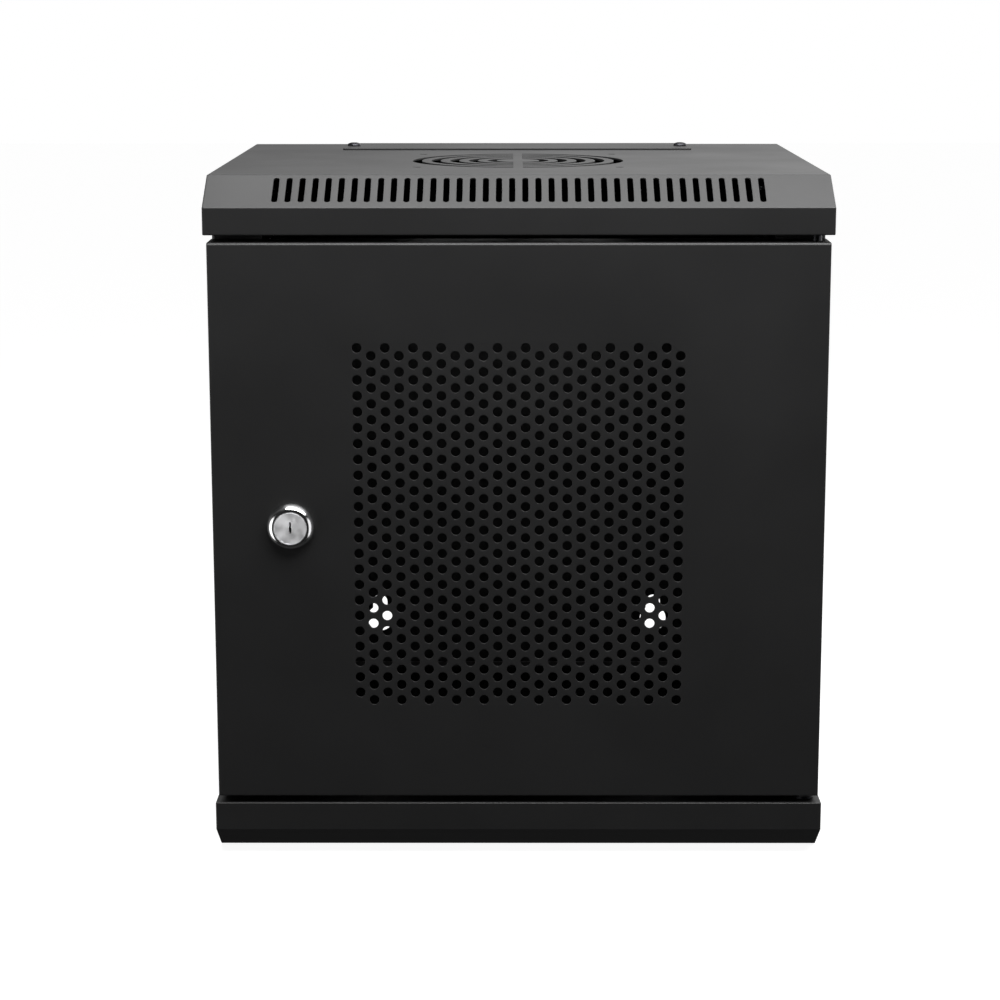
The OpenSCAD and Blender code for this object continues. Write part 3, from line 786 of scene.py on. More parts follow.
def screw_shape(radius, length, head_r, head_h):
    """Domed screw with a hexagon socket. Its head stands along +Z on z = 0."""
    def build(bm):
        dome = [(head_r * math.cos(a) ** 0.6, head_h * (0.25 + 0.75 * math.sin(a)))
                for a in map(math.radians, (0, 25, 45, 62, 74))]
        socket_r = head_r * 0.5
        profile = [(0, -length), (radius * 0.75, -length)]
        profile += thread(radius, SMALL_PITCH, -length + 0.4 * MM, -0.5 * MM)
        profile += [(radius, 0), (head_r * 0.95, 0), (head_r, head_h * 0.1)] + dome
        rim = len(profile)
        profile += [(socket_r, head_h), (socket_r * 0.97, head_h * 0.93), (socket_r * 0.95, head_h * 0.35),
                    (0, head_h * 0.3)]
        lathe(bm, profile, 24, lambda angle, k: hexagon(angle) if k >= rim else 1)
    return as_object("screw_shape", build)


def nut_shape(bore, flats, height):
    return as_object("nut_shape", lambda bm: bored_hexagon(bm, bore, flats, height, height * 0.12, 0.9, 24))


def ring_shape(bore, outer, height):
    """Pressed nut or washer with both rims softened, from z = 0 up."""
    soft = height * 0.15

    def build(bm):
        outside = [(outer - soft, 0), (outer, soft), (outer, height - soft), (outer - soft, height)]
        inside = [(bore + soft / 2, height), (bore, height - soft), (bore, soft), (bore + soft / 2, 0)]
        close_ring(bm, lathe(bm, outside + inside, 28))
    return as_object("ring_shape", build)


def stud_shape(radius, length, base):
    """Threaded stud with a plain foot, from z = 0 up."""
    def build(bm):
        tip = 0.6 * MM
        profile = [(0, 0), (radius, 0), (radius, base)]
        profile += thread(radius, SMALL_PITCH, base + 0.3 * MM, length - tip)
        lathe(bm, profile + [(radius * 0.72, length), (0, length)], 20)
    return as_object("stud_shape", build)


def rivet_shape(radius, grip, head_r, head_h, tail_r, tail_h):
    """Set rivet with its domed head along +Z on z = 0."""
    def build(bm):
        tail = [(0, -grip - tail_h), (tail_r * 0.8, -grip - tail_h), (tail_r, -grip - tail_h * 0.6),
                (tail_r, -grip)]
        dome = [(head_r * math.cos(a), head_h * math.sin(a)) for a in map(math.radians, (0, 25, 50, 72))]
        dimple = [(radius * 0.5, head_h), (radius * 0.45, head_h * 0.5), (0, head_h * 0.5)]
        lathe(bm, tail + [(radius, -grip), (radius, 0)] + dome + dimple, 24)
    return as_object("rivet_shape", build)


def fixings(name, node, body, slot_name, template, places, seed):
    """Copies of a template on (place, direction) pairs, as one plain piece for one body."""
    mesh = bpy.data.meshes.new(name)
    mesh.from_pydata([tuple(place) for place, _ in places], [], [])
    facing = mesh.attributes.new("facing", "FLOAT_VECTOR", "POINT")
    for item, (_, direction) in zip(facing.data, places):
        item.vector = direction
    obj = new_object(name, mesh)
    modifier = obj.modifiers.new("Fixings", "NODES")
    modifier.node_group = fixings_tree()
    set_inputs(modifier, {"Fixing": template, "Turn": math.pi, "Seed": seed,
                          "Material": material(slot_name)})
    made = plain_mesh(obj)
    made.name = name
    if made.materials[0] is None:
        made.materials.pop(index=0)
    discard(template)
    shade_by_angle(made, 32)
    hand_over(obj, body, [node])
    return obj


def shade_by_angle(mesh, degrees):
    """Smooth shading, broken at every edge sharper than the angle."""
    bm = bmesh.new()
    bm.from_mesh(mesh)
    for face in bm.faces:
        face.smooth = True
    for edge in bm.edges:
        edge.smooth = len(edge.link_faces) == 2 and edge.calc_face_angle(0) < math.radians(degrees)
    bm.to_mesh(mesh)
    bm.free()


def turned_piece(name, node, body, slot_name, build, matrix, degrees=32):
    """One turned part, built along Z and set in place by a matrix."""
    bm = bmesh.new()
    build(bm)
    bmesh.ops.remove_doubles(bm, verts=bm.verts, dist=MERGE / 4)
    bmesh.ops.recalc_face_normals(bm, faces=bm.faces)
    bmesh.ops.transform(bm, matrix=matrix, verts=bm.verts)
    mesh = bpy.data.meshes.new(name)
    bm.to_mesh(mesh)
    bm.free()
    shade_by_angle(mesh, degrees)
    mesh.materials.append(material(slot_name))
    obj = new_object(name, mesh)
    hand_over(obj, body, [node])
    return obj


# ---------------------------------------------------------------- operators


class CabinetOperator:
    """What every piece's operator shares."""
    bl_options = {"REGISTER", "UNDO"}

    def execute(self, context):
        self.build(context.scene)
        return {"FINISHED"}


def cover_lip(screws, sign):
    """The cover's mouth: a wide opening inside a lip, with screw holes and the hinge pin's hole."""
    def cut(width, height, middle):
        lip_front, lip_side, lip_back = 18 * MM, 16 * MM, 12 * MM
        y0, y1 = FRONT_Y + lip_front, BACK_Y - lip_back

        def local(y):
            return sign * (y - middle.x)
        outlines = [rectangle(0, local((y0 + y1) / 2), 2 * (HALF_W - lip_side), y1 - y0, 2 * MM)]
        for lo, hi in screws:
            centre = (lo + hi) / 2
            outlines.append(circle(centre.x, local(centre.y), COVER_HOLE_R, 20))
        outlines.append(circle(HINGE.x, local(HINGE.y), PIN_HOLE_R))
        return punched(width, height, outlines)
    return cut


def entry_outlines(y):
    """Rear cable entry and the holes of its plate's two screws."""
    holes = [circle(side * ENTRY_SCREW_X, y, SMALL_HOLE_R, 20) for side in (-1, 1)]
    return [rectangle(0, y, 176 * MM, 30 * MM, 3 * MM)] + holes


def plate_cut(width, height, middle):
    """Top plate: ring grille in two halves, four fan screw holes and the cable entry."""
    pattern = bpy.context.scene.cabinet_pattern
    y = pattern.grille_y - middle.x
    outlines = entry_outlines(ENTRY_Y - middle.x)
    radius = pattern.grille_radius
    while radius > pattern.grille_slot * 2:
        for side in (-1, 1):
            steps = max(16, int(radius / MM))
            outlines.append(half_ring(y, radius, radius - pattern.grille_slot, pattern.grille_slot,
                                      side, steps))
        radius -= pattern.grille_pitch
    for x in (-1, 1):
        for row in (-1, 1):
            outlines.append(circle(x * pattern.fan_pitch / 2, y + row * pattern.fan_pitch / 2,
                                   STUD_HOLE_R, 20))
    return punched(width, height, outlines)


def slope_cut(width, height, middle):
    """Row of slots in the slope. The flat face's middle is a little above the whole slope's."""
    settings, pattern = bpy.context.scene.cabinet_sheet, bpy.context.scene.cabinet_pattern
    whole = Vector((FRONT_Y + settings.top_slope_depth / 2,
                    high("top_cover").z - settings.slope_height / 2))
    return punched(width, height, [], columns=pattern.slots, rows=1, column_pitch=pattern.slot_pitch,
                   pattern_height=pattern.slot_rise - (middle - whole).length,
                   hole_width=pattern.slot_width, hole_length=pattern.slot_length, hole_sides=20)


def base_cut(width, height, middle):
    """Bottom plate: the cable entry alone."""
    return punched(width, height, entry_outlines(middle.x - ENTRY_Y))


class CABINET_OT_top_cover(CabinetOperator, bpy.types.Operator):
    """Folds the top cover, with its slope, slots, ring grille and cable entry"""
    bl_idname = "cabinet.top_cover"
    bl_label = "Top Cover"

    def build(self, scene):
        settings = scene.cabinet_sheet
        z0, z1 = low("top_cover").z, high("top_cover").z
        corners = [(FRONT_Y, z0), (BACK_Y, z0), (BACK_Y, z1), (FRONT_Y + settings.top_slope_depth, z1),
                   (FRONT_Y, z1 - settings.slope_height)]
        screws = [pair for pair in solids("cover_screws") if pair[1].z > MID_Z]
        bm = bmesh.new()
        folded_box(bm, corners, HALF_W, {0: cover_lip(screws, -1), 2: plate_cut, 3: slope_cut},
                   (0, 1, 4))
        finish_piece("top_cover_folded", bm, "carcass", ["top_cover"], "powder_coat")


class CABINET_OT_bottom_cover(CabinetOperator, bpy.types.Operator):
    """Folds the bottom cover, with its slope and cable entry"""
    bl_idname = "cabinet.bottom_cover"
    bl_label = "Bottom Cover"

    def build(self, scene):
        settings = scene.cabinet_sheet
        z0, z1 = low("bottom_cover").z, high("bottom_cover").z
        corners = [(FRONT_Y, z0 + settings.slope_height), (FRONT_Y + settings.bottom_slope_depth, z0),
                   (BACK_Y, z0), (BACK_Y, z1), (FRONT_Y, z1)]
        screws = [pair for pair in solids("cover_screws") if pair[1].z < MID_Z]
        bm = bmesh.new()
        folded_box(bm, corners, HALF_W, {1: base_cut, 3: cover_lip(screws, 1)}, (0, 3, 4))
        finish_piece("bottom_cover_folded", bm, "carcass", ["bottom_cover"], "powder_coat")


class CABINET_OT_door(CabinetOperator, bpy.types.Operator):
    """Punches and folds the door, with its round holes and the lock's hole"""
    bl_idname = "cabinet.door"
    bl_label = "Door"

    def build(self, scene):
        pattern = scene.cabinet_pattern
        z0, z1 = low("door_shell").z, high("door_shell").z
        behind = DOOR_BACK_Y + 12 * MM
        corners = [(FRONT_Y, z0), (behind, z0), (behind, z1), (FRONT_Y, z1)]

        def front(width, height, middle):
            lock = circle(LOCK.x, LOCK.z - middle.y, BARREL_HOLE_R, 40)
            return punched(width, height, [lock], columns=pattern.columns, rows=pattern.rows,
                           column_pitch=pattern.column_pitch, row_pitch=pattern.pitch,
                           stagger=pattern.pitch / 4, pattern_height=MID_Z - middle.y,
                           hole_width=pattern.hole, hole_length=pattern.hole, hole_sides=pattern.hole_sides)

        def edge(sign):
            def cut(width, height, middle):
                return punched(width, height, [circle(HINGE.x, sign * (HINGE.y - middle.x), PIN_HOLE_R)])
            return cut
        bm = bmesh.new()
        folded_box(bm, corners, HALF_DOOR, {0: edge(-1), 2: edge(1), 3: front}, (0,))
        everything = bm.verts[:] + bm.edges[:] + bm.faces[:]
        bmesh.ops.bisect_plane(bm, geom=everything, plane_co=(0, DOOR_BACK_Y, 0), plane_no=(0, 1, 0),
                               clear_outer=True, dist=MERGE)
        rim = [e for e in bm.edges if e.is_boundary]
        bmesh.ops.bridge_loops(bm, edges=rim)
        finish_piece("door_sheet", bm, "door", ["door_shell"], "powder_coat")


def outer_bends(bm, lo, hi, faces):
    """Edges where two of the named outer faces meet, such as ("+x", "-y")."""
    value = {"+": hi, "-": lo}
    axis = {"x": 0, "y": 1, "z": 2}
    found = []
    for edge in bm.edges:
        if edge.calc_length() < 20 * MM:
            continue
        for first, second in faces:
            if all(abs(v.co[axis[f[1]]] - value[f[0]][axis[f[1]]]) < 0.01 * MM
                   for v in edge.verts for f in (first, second)):
                found.append(edge)
    return list(set(found))


class CABINET_OT_side_panels(CabinetOperator, bpy.types.Operator):
    """Folds the two side panels, whose front edges are the strike and the hinge side"""
    bl_idname = "cabinet.side_panels"
    bl_label = "Side Panels"

    def build(self, scene):
        for node, side in (("left_side_panel", "-x"), ("right_side_panel", "+x")):
            bm = cad_bmesh(node)
            lo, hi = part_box(node)
            bends = outer_bends(bm, lo, hi, [(side, edge) for edge in ("-y", "+y", "-z", "+z")])
            bmesh.ops.bevel(bm, geom=bends, offset=scene.cabinet_sheet.bend_radius, segments=4,
                            affect="EDGES", profile=0.5, clamp_overlap=True)
            finish_piece(node + "_folded", bm, "carcass", [node], "powder_coat")


class CABINET_OT_back_panel(CabinetOperator, bpy.types.Operator):
    """Cuts the back panel with its four keyholes and stud holes"""
    bl_idname = "cabinet.back_panel"
    bl_label = "Back Panel"

    def build(self, scene):
        lo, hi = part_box("back_panel")
        flange_w, clear = 16 * MM, 0.1 * MM
        inner_x = high("right_side_panel").x - flange_w - clear
        foot, head = lo.z + SHEET, hi.z - SHEET
        corners = [(hi.x, foot), (hi.x, head), (inner_x, head), (inner_x, hi.z), (-inner_x, hi.z),
                   (-inner_x, head), (lo.x, head), (lo.x, foot), (-inner_x, foot), (-inner_x, lo.z),
                   (inner_x, lo.z), (inner_x, foot)]
        spread_x, rise, first_z = 84 * MM, 210 * MM, 56.4 * MM
        loops = [corners]
        for x in (-spread_x, spread_x):
            for row in (0, 1):
                loops.append(keyhole(x, first_z + row * rise, 8 * MM, 8.8 * MM, 10.6 * MM))
        for stud_lo, stud_hi in solids("back_studs"):
            centre = (stud_lo + stud_hi) / 2
            loops.append(circle(centre.x, centre.z, STUD_HOLE_R, 20))
        points, faces = filled(loops)
        bm = bmesh.new()
        matrix = Matrix(((1, 0, 0, 0), (0, 0, -1, lo.y), (0, 1, 0, 0), (0, 0, 0, 1)))
        add_plate(bm, points, faces, hi.y - lo.y, matrix)
        finish_piece("back_panel_sheet", bm, "carcass", ["back_panel"], "powder_coat")


class CABINET_OT_entry_plates(CabinetOperator, bpy.types.Operator):
    """Cuts the two plates that cover the cable entries"""
    bl_idname = "cabinet.entry_plates"
    bl_label = "Cable Entry Plates"

    def build(self, scene):
        for node in ("top_entry_plate", "bottom_entry_plate"):
            lo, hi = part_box(node)
            middle = (lo + hi) / 2
            loops = [rectangle(middle.x, middle.y, hi.x - lo.x, hi.y - lo.y, 1.5 * MM)]
            for side in (-1, 1):
                loops.append(circle(side * ENTRY_SCREW_X, ENTRY_Y, SMALL_HOLE_R, 20))
            points, faces = filled(loops)
            bm = bmesh.new()
            add_plate(bm, points, faces, hi.z - lo.z, Matrix.Translation((0, 0, hi.z)))
            finish_piece(node + "_sheet", bm, "carcass", [node], "powder_coat", 0.22 * MM)


class CABINET_OT_rails(CabinetOperator, bpy.types.Operator):
    """Folds the rack rails and their slotted supports"""
    bl_idname = "cabinet.rails"
    bl_label = "Rails and Supports"

    def build(self, scene):
        for side in ("left", "right"):
            finish_piece(side + "_rail_folded", cad_bmesh(side + "_rail"), "rail_" + side,
                         [side + "_rail"], "inner_coat", 0.2 * MM)
            for level in ("upper", "lower"):
                node = f"{level}_{side}_support"
                finish_piece(node + "_angle", cad_bmesh(node), "carcass", [node], "inner_coat", 0.2 * MM)


def seats(node, head_h, up):
    """(seat, direction) of each screw in a node. up(pair) says whether its head is on top."""
    places = []
    for lo, hi in solids(node):
        centre = (lo + hi) / 2
        if up((lo, hi)):
            places.append(((centre.x, centre.y, hi.z - head_h), (0, 0, 1)))
        else:
            places.append(((centre.x, centre.y, lo.z + head_h), (0, 0, -1)))
    return places


def in_lower_half(pair):
    return pair[0].z < MID_Z


class CABINET_OT_screws(CabinetOperator, bpy.types.Operator):
    """Places every screw, nut, stud and rivet of the cabinet and its rails"""
    bl_idname = "cabinet.screws"
    bl_label = "Screws, Nuts and Rivets"

    def build(self, scene):
        fixings("cover_screw_set", "cover_screws", "carcass", "zinc_plate",
                screw_shape(COVER_SCREW_R, 7 * MM, 4 * MM, SCREW_HEAD_H),
                seats("cover_screws", SCREW_HEAD_H, in_lower_half), 3)
        for node, length, slot_name in (("top_entry_screws", 6 * MM, "black_screw"),
                                        ("bottom_entry_screws", 1.8 * MM, "zinc_plate")):
            fixings(node[:-1] + "_set", node, "carcass", slot_name,
                    screw_shape(SMALL_SCREW_R, length, 3.8 * MM, ENTRY_HEAD_H),
                    seats(node, ENTRY_HEAD_H, lambda pair: True), 5)
        self.nuts("cover_nut_set", "cover_nuts", ring_shape(COVER_SCREW_R, 4.4 * MM, 3.4 * MM))
        self.nuts("top_entry_nut_set", "top_entry_nuts", ring_shape(SMALL_SCREW_R, 3.8 * MM, 3 * MM))
        for side in ("left", "right"):
            body = "rail_" + side
            fixings(f"{side}_rail_screw_set", f"{side}_rail_screws", body, "zinc_plate",
                    screw_shape(SMALL_SCREW_R, 8 * MM, 3.5 * MM, SCREW_HEAD_H),
                    seats(f"{side}_rail_screws", SCREW_HEAD_H, in_lower_half), 7)
            self.nuts(f"{side}_rail_nut_set", f"{side}_rail_nuts", small_nut(), body)
        for name, node, template, seed in (
                ("back_stud_set", "back_studs", stud_shape(SMALL_SCREW_R, 12 * MM, SHEET), 8),
                ("back_nut_set", "back_nuts", small_nut(), 9)):
            places = [(((lo + hi) / 2).x, hi.y, ((lo + hi) / 2).z) for lo, hi in solids(node)]
            fixings(name, node, "carcass", "zinc_plate", template,
                    [(place, (0, -1, 0)) for place in places], seed)
        grip = SHEET + SUPPORT_SHEET
        rivets = []
        for lo, hi in solids("support_rivets"):
            # Each rivet's head sits on the outside of its side panel
            side = 1 if hi.x > 0 else -1
            face = high("right_side_panel").x * side
            rivets.append(((face, (lo.y + hi.y) / 2, (lo.z + hi.z) / 2), (side, 0, 0)))
        fixings("support_rivet_set", "support_rivets", "carcass", "zinc_plate",
                rivet_shape(1.6 * MM, grip, 3.2 * MM, 1.1 * MM, 2.4 * MM, 1.2 * MM), rivets, 10)

    def nuts(self, name, node, template, body="carcass"):
        places = [((((lo + hi) / 2).x, ((lo + hi) / 2).y, lo.z), (0, 0, 1)) for lo, hi in solids(node)]
        fixings(name, node, body, "zinc_plate", template, places, 11)


def small_nut():
    return nut_shape(SMALL_SCREW_R, 7 * MM, 3.2 * MM)


def on_hinge(z):
    """Stands a turned part on the hinge's axis, with its foot at a height."""
    return Matrix.Translation((HINGE.x, HINGE.y, z))


class CABINET_OT_hinges(CabinetOperator, bpy.types.Operator):
    """Builds the hinge brackets, the two pins, the washer, collar, knob and spring"""
    bl_idname = "cabinet.hinges"
    bl_label = "Hinges"

    def build(self, scene):
        for node in ("upper_hinge_bracket", "lower_hinge_bracket"):
            finish_piece(node + "_plate", cad_bmesh(node), "door", [node], "inner_coat", 0.25 * MM)
        lo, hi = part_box("upper_hinge_pin")
        radius, length = (hi.x - lo.x) / 2, hi.z - lo.z
        turned_piece("upper_pin", "upper_hinge_pin", "hinge_pin", "black_screw",
                     lambda bm: lathe(bm, [(0, 0), (radius - 0.4 * MM, 0), (radius, 0.4 * MM),
                                           (radius, length - 0.9 * MM), (radius * 0.92, length - 0.5 * MM),
                                           (radius * 0.7, length - 0.1 * MM), (0, length)]),
                     on_hinge(lo.z))
        self.ring("pin_collar_ring", "pin_collar", "hinge_pin", "zinc_plate", 0.15 * MM)
        self.knob()
        self.spring()
        self.lower_pin()
        self.ring("hinge_washer_ring", "hinge_washer", "carcass", "nylon", 0.25 * MM)

    def ring(self, name, node, body, slot_name, soft):
        lo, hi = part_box(node)
        turned_piece(name, node, body, slot_name,
                     lambda bm: bored_ring(bm, PIN_R, (hi.x - lo.x) / 2, hi.z - lo.z, soft), on_hinge(lo.z))

    def knob(self):
        lo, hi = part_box("pin_knob")
        outer, height = (hi.x - lo.x) / 2, hi.z - lo.z
        profile = [(0, 0), (outer * 0.8, 0), (outer * 0.95, 0.4 * MM), (outer, 1.2 * MM), (outer, 5.4 * MM),
                   (outer * 0.96, 6 * MM), (outer * 0.8, height - 0.3 * MM), (outer * 0.74, height),
                   (PIN_R, height), (PIN_R, 2 * MM), (0, 2 * MM)]

        def ribs(angle, k):
            return 0.96 + 0.04 * math.cos(18 * angle) if 2 <= k <= 4 else 1
        turned_piece("pin_knob_grip", "pin_knob", "hinge_pin", "knob_plastic",
                     lambda bm: lathe(bm, profile, 72, ribs), on_hinge(lo.z))

    def spring(self):
        lo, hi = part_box("pin_spring")
        wire_r, coil_r, turns = 0.4 * MM, 3.7 * MM, 5
        rise = hi.z - lo.z - 2 * wire_r
        steps, around = 24 * turns, 10

        def build(bm):
            rings = []
            for s in range(steps + 1):
                turn = 2 * math.pi * turns * s / steps
                ring = []
                for k in range(around):
                    a = 2 * math.pi * k / around
                    r = coil_r + wire_r * math.cos(a)
                    ring.append(bm.verts.new((r * math.cos(turn), r * math.sin(turn),
                                              wire_r + rise * s / steps + wire_r * math.sin(a))))
                rings.append(ring)
            for first, second in zip(rings, rings[1:]):
                for k in range(around):
                    bm.faces.new((first[k], first[(k + 1) % around], second[(k + 1) % around], second[k]))
            bm.faces.new(rings[0])
            bm.faces.new(rings[-1])
        coil = turned_piece("pin_spring_coil", "pin_spring", "door", "zinc_plate", build, on_hinge(lo.z), 60)
        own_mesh(coil)

    def lower_pin(self):
        lo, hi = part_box("lower_hinge_pin")
        lip = high("bottom_cover").z - lo.z
        top, shoulder = hi.z - lo.z, lip + 1.4 * MM
        riveted_head = [(0, 0), (2.9 * MM, 0), (3.4 * MM, 0.35 * MM), (3.4 * MM, 1 * MM), (PIN_R, 1 * MM)]
        collar = [(PIN_R, lip), (4.8 * MM, lip), (5 * MM, lip + 0.2 * MM), (5 * MM, shoulder - 0.2 * MM),
                  (4.8 * MM, shoulder), (PIN_R, shoulder)]
        tip = [(PIN_R, top - 0.8 * MM), (PIN_R - 0.8 * MM, top), (0, top)]
        turned_piece("lower_pin", "lower_hinge_pin", "carcass", "black_screw",
                     lambda bm: lathe(bm, riveted_head + collar + tip), on_hinge(lo.z))


def lock_place():
    """Turned along Z, the lock's parts face the front at -Z. z = 0 is the door's face."""
    return Matrix.Translation((LOCK.x, FRONT_Y, LOCK.z)) @ Matrix.Rotation(-math.pi / 2, 4, "X")


class CABINET_OT_lock(CabinetOperator, bpy.types.Operator):
    """Builds the cam lock: bezel and barrel, nut, plug with its keyway, cam, washer and screw"""
    bl_idname = "cabinet.lock"
    bl_label = "Cam Lock"

    def build(self, scene):
        place = lock_place()
        proud = FRONT_Y - low("lock_housing").y
        end = high("lock_housing").y - FRONT_Y
        face_r, bore = 8.25 * MM, 6.55 * MM
        front = -proud

        def housing(bm):
            crown = [(8.5 * MM + 3.5 * MM * math.sin(a), -proud * math.cos(a) ** 1.15)
                     for a in (math.pi / 2 * k / 10 for k in range(1, 10))]
            profile = [(face_r, front + 0.25 * MM), (face_r + 0.15 * MM, front)] + crown
            profile += [(12 * MM, 0), (BARREL_R, 0), (BARREL_R, 1 * MM)]
            profile += thread(BARREL_R, 1.25 * MM, 1.6 * MM, end - 0.6 * MM)
            profile += [(9 * MM, end), (bore, end), (bore, front + 2 * MM), (face_r, front + 2 * MM)]
            close_ring(bm, lathe(bm, profile, 72))
        turned_piece("lock_bezel", "lock_housing", "door", "satin_chrome", housing, place)

        turned_piece("lock_nut_hexagon", "lock_nut", "door", "zinc_plate",
                     lambda bm: bored_hexagon(bm, BARREL_R, 24 * MM, 3.5 * MM, 0.4 * MM, 0.92, 48),
                     place @ Matrix.Translation((0, 0, SHEET)))
        self.plug(place, front)
        self.cam(place)

    def plug(self, place, front):
        """Flat face with a bevelled rim round the keyway, on a round shaft with a square end."""
        face_z = front + 0.2 * MM
        rim_r, flat_r, floor_z = 8.2 * MM, 7.75 * MM, face_z + 13 * MM
        cam_z = low("lock_cam").y - FRONT_Y
        end_z = high("lock_cam").y - FRONT_Y
        shaft_r, square = 6.5 * MM, 7 * MM
        top, foot, wide, narrow = -3.1 * MM, 2.7 * MM, 0.65 * MM, 0.45 * MM
        keyway = [(-narrow, top), (narrow, top), (narrow, -0.4 * MM), (wide, -0.2 * MM), (wide, foot),
                  (-wide, foot), (-wide, -0.2 * MM), (-narrow, -0.4 * MM)]
        steps = 72

        def build(bm):
            points, faces = filled([circle(0, 0, flat_r, steps), keyway])
            flat = [bm.verts.new((x, y, face_z)) for x, y in points]
            for face in faces:
                bm.faces.new([flat[i] for i in face])
            lathe(bm, [(flat_r, face_z), (rim_r, face_z + 0.3 * MM), (rim_r, front + 1.95 * MM),
                       (shaft_r, front + 1.95 * MM), (shaft_r, cam_z)], steps)
            mouth = [bm.verts.new((x, y, face_z)) for x, y in keyway]
            floor = [bm.verts.new((x, y, floor_z)) for x, y in keyway]
            for i in range(len(keyway)):
                j = (i + 1) % len(keyway)
                bm.faces.new((mouth[i], mouth[j], floor[j], floor[i]))
            bm.faces.new(floor)
            ledge, tail = ([bm.verts.new((x, y, z)) for x, y in rectangle(0, 0, square, square)]
                           for z in (cam_z, end_z))
            for i in range(4):
                bm.faces.new((ledge[i], ledge[(i + 1) % 4], tail[(i + 1) % 4], tail[i]))
            bm.faces.new(tail)
            around, inner = filled([circle(0, 0, shaft_r, steps), [(v.co.x, v.co.y) for v in ledge]])
            shoulder = [bm.verts.new((x, y, cam_z)) for x, y in around]
            for face in inner:
                bm.faces.new([shoulder[i] for i in face])
        turned_piece("lock_plug_face", "lock_plug", "lock", "plug_face", build, place)

    def cam(self, place):
        near, far = low("lock_cam").y - FRONT_Y, high("lock_cam").y - FRONT_Y
        reach, width = 32 * MM, 12 * MM
        side = math.acos(width / 2 / (8 * MM))
        outline = arc(0, reach - width / 2, width / 2, 0, math.pi, 14)
        outline += arc(0, 0, 8 * MM, math.pi - side, 2 * math.pi + side, 30)
        points, faces = filled([outline, rectangle(0, 0, 7 * MM, 7 * MM)])
        bm = bmesh.new()
        add_plate(bm, points, faces, far - near, place @ Matrix.Translation((0, 0, far)))
        finish_piece("lock_cam_arm", bm, "lock", ["lock_cam"], "zinc_plate", 0.2 * MM)
        back = place @ Matrix.Translation((0, 0, far))
        turned_piece("cam_washer_ring", "cam_washer", "lock", "zinc_plate",
                     lambda bm: bored_ring(bm, SMALL_HOLE_R, 6 * MM, 1 * MM, 0.15 * MM), back)
        lo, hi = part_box("cam_screw")
        head = 2.6 * MM
        fixings("cam_screw_hexagon", "cam_screw", "lock", "zinc_plate",
                screw_shape(SMALL_SCREW_R, hi.y - lo.y - head, 4 * MM, head),
                [((LOCK.x, hi.y - head, LOCK.z), (0, 1, 0))], 12)


class CABINET_OT_bumpers(CabinetOperator, bpy.types.Operator):
    """Moulds the two rubber pads that the door closes against"""
    bl_idname = "cabinet.bumpers"
    bl_label = "Door Pads"

    def build(self, scene):
        places = []
        for lo, hi in solids("door_bumpers"):
            radius, height = (hi.x - lo.x) / 2, hi.y - lo.y
            places.append((((lo.x + hi.x) / 2, hi.y, (lo.z + hi.z) / 2), (0, -1, 0)))

        def build(bm):
            lathe(bm, [(0, 0), (radius, 0), (radius, height * 0.45), (radius * 0.95, height * 0.75),
                       (radius * 0.82, height * 0.93), (radius * 0.6, height), (0, height)], 32)
        fixings("door_pads", "door_bumpers", "carcass", "rubber", as_object("pad_shape", build), places, 13)


class CABINET_OT_earth(CabinetOperator, bpy.types.Operator):
    """Places the earth stud, its washer and its nut inside the base"""
    bl_idname = "cabinet.earth"
    bl_label = "Earth Stud"

    def build(self, scene):
        lo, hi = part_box("earth_stud")
        seat = ((lo.x + hi.x) / 2, (lo.y + hi.y) / 2)
        for name, node, slot_name, template in (
                ("earth_stud_rod", "earth_stud", "brass", stud_shape(3 * MM, hi.z - lo.z, 1.4 * MM)),
                ("earth_washer_ring", "earth_washer", "zinc_plate", ring_shape(3 * MM, 6 * MM, 1.4 * MM)),
                ("earth_nut_hexagon", "earth_nut", "zinc_plate", nut_shape(3 * MM, 10 * MM, 5 * MM))):
            fixings(name, node, "carcass", slot_name, template, [((*seat, low(node).z), (0, 0, 1))], 14)


# ---------------------------------------------------------------- stage


CAMERA_PLACE = Vector((-5.37, -1378.2, 437.02)) * MM
CAMERA_PITCH = math.radians(11.421)
CAMERA_YAW = math.radians(-0.181)
CAMERA_ROLL = math.radians(-0.039)
CAMERA_LENS = 91.054


def add_camera():
    """Long lens, a little above the cabinet's top and looking down on it."""
    data = bpy.data.cameras.new("camera")
    data.lens = CAMERA_LENS
    data.sensor_width = 36
    data.clip_start, data.clip_end = 0.05, 50
    camera = new_object("camera", data)
    level = math.cos(CAMERA_PITCH)
    ahead = Vector((math.sin(CAMERA_YAW) * level, math.cos(CAMERA_YAW) * level, -math.sin(CAMERA_PITCH)))
    right = Vector((math.cos(CAMERA_YAW), -math.sin(CAMERA_YAW), 0))
    up = right.cross(ahead)
    across = math.cos(CAMERA_ROLL) * right + math.sin(CAMERA_ROLL) * up
    above = -math.sin(CAMERA_ROLL) * right + math.cos(CAMERA_ROLL) * up
    turned = Matrix((across, above, -ahead)).transposed().to_4x4()
    camera.matrix_world = Matrix.Translation(CAMERA_PLACE) @ turned
    bpy.context.scene.camera = camera


def area_light(name, place, target, size, power):
    data = bpy.data.lights.new(name, "AREA")
    data.shape = "RECTANGLE"
    data.size, data.size_y = size
    data.energy = power
    light = new_object(name, data)
    light.location = place
    light.visible_camera = False
    light.rotation_euler = (Vector(target) - Vector(place)).to_track_quat("-Z", "Y").to_euler()
    return light


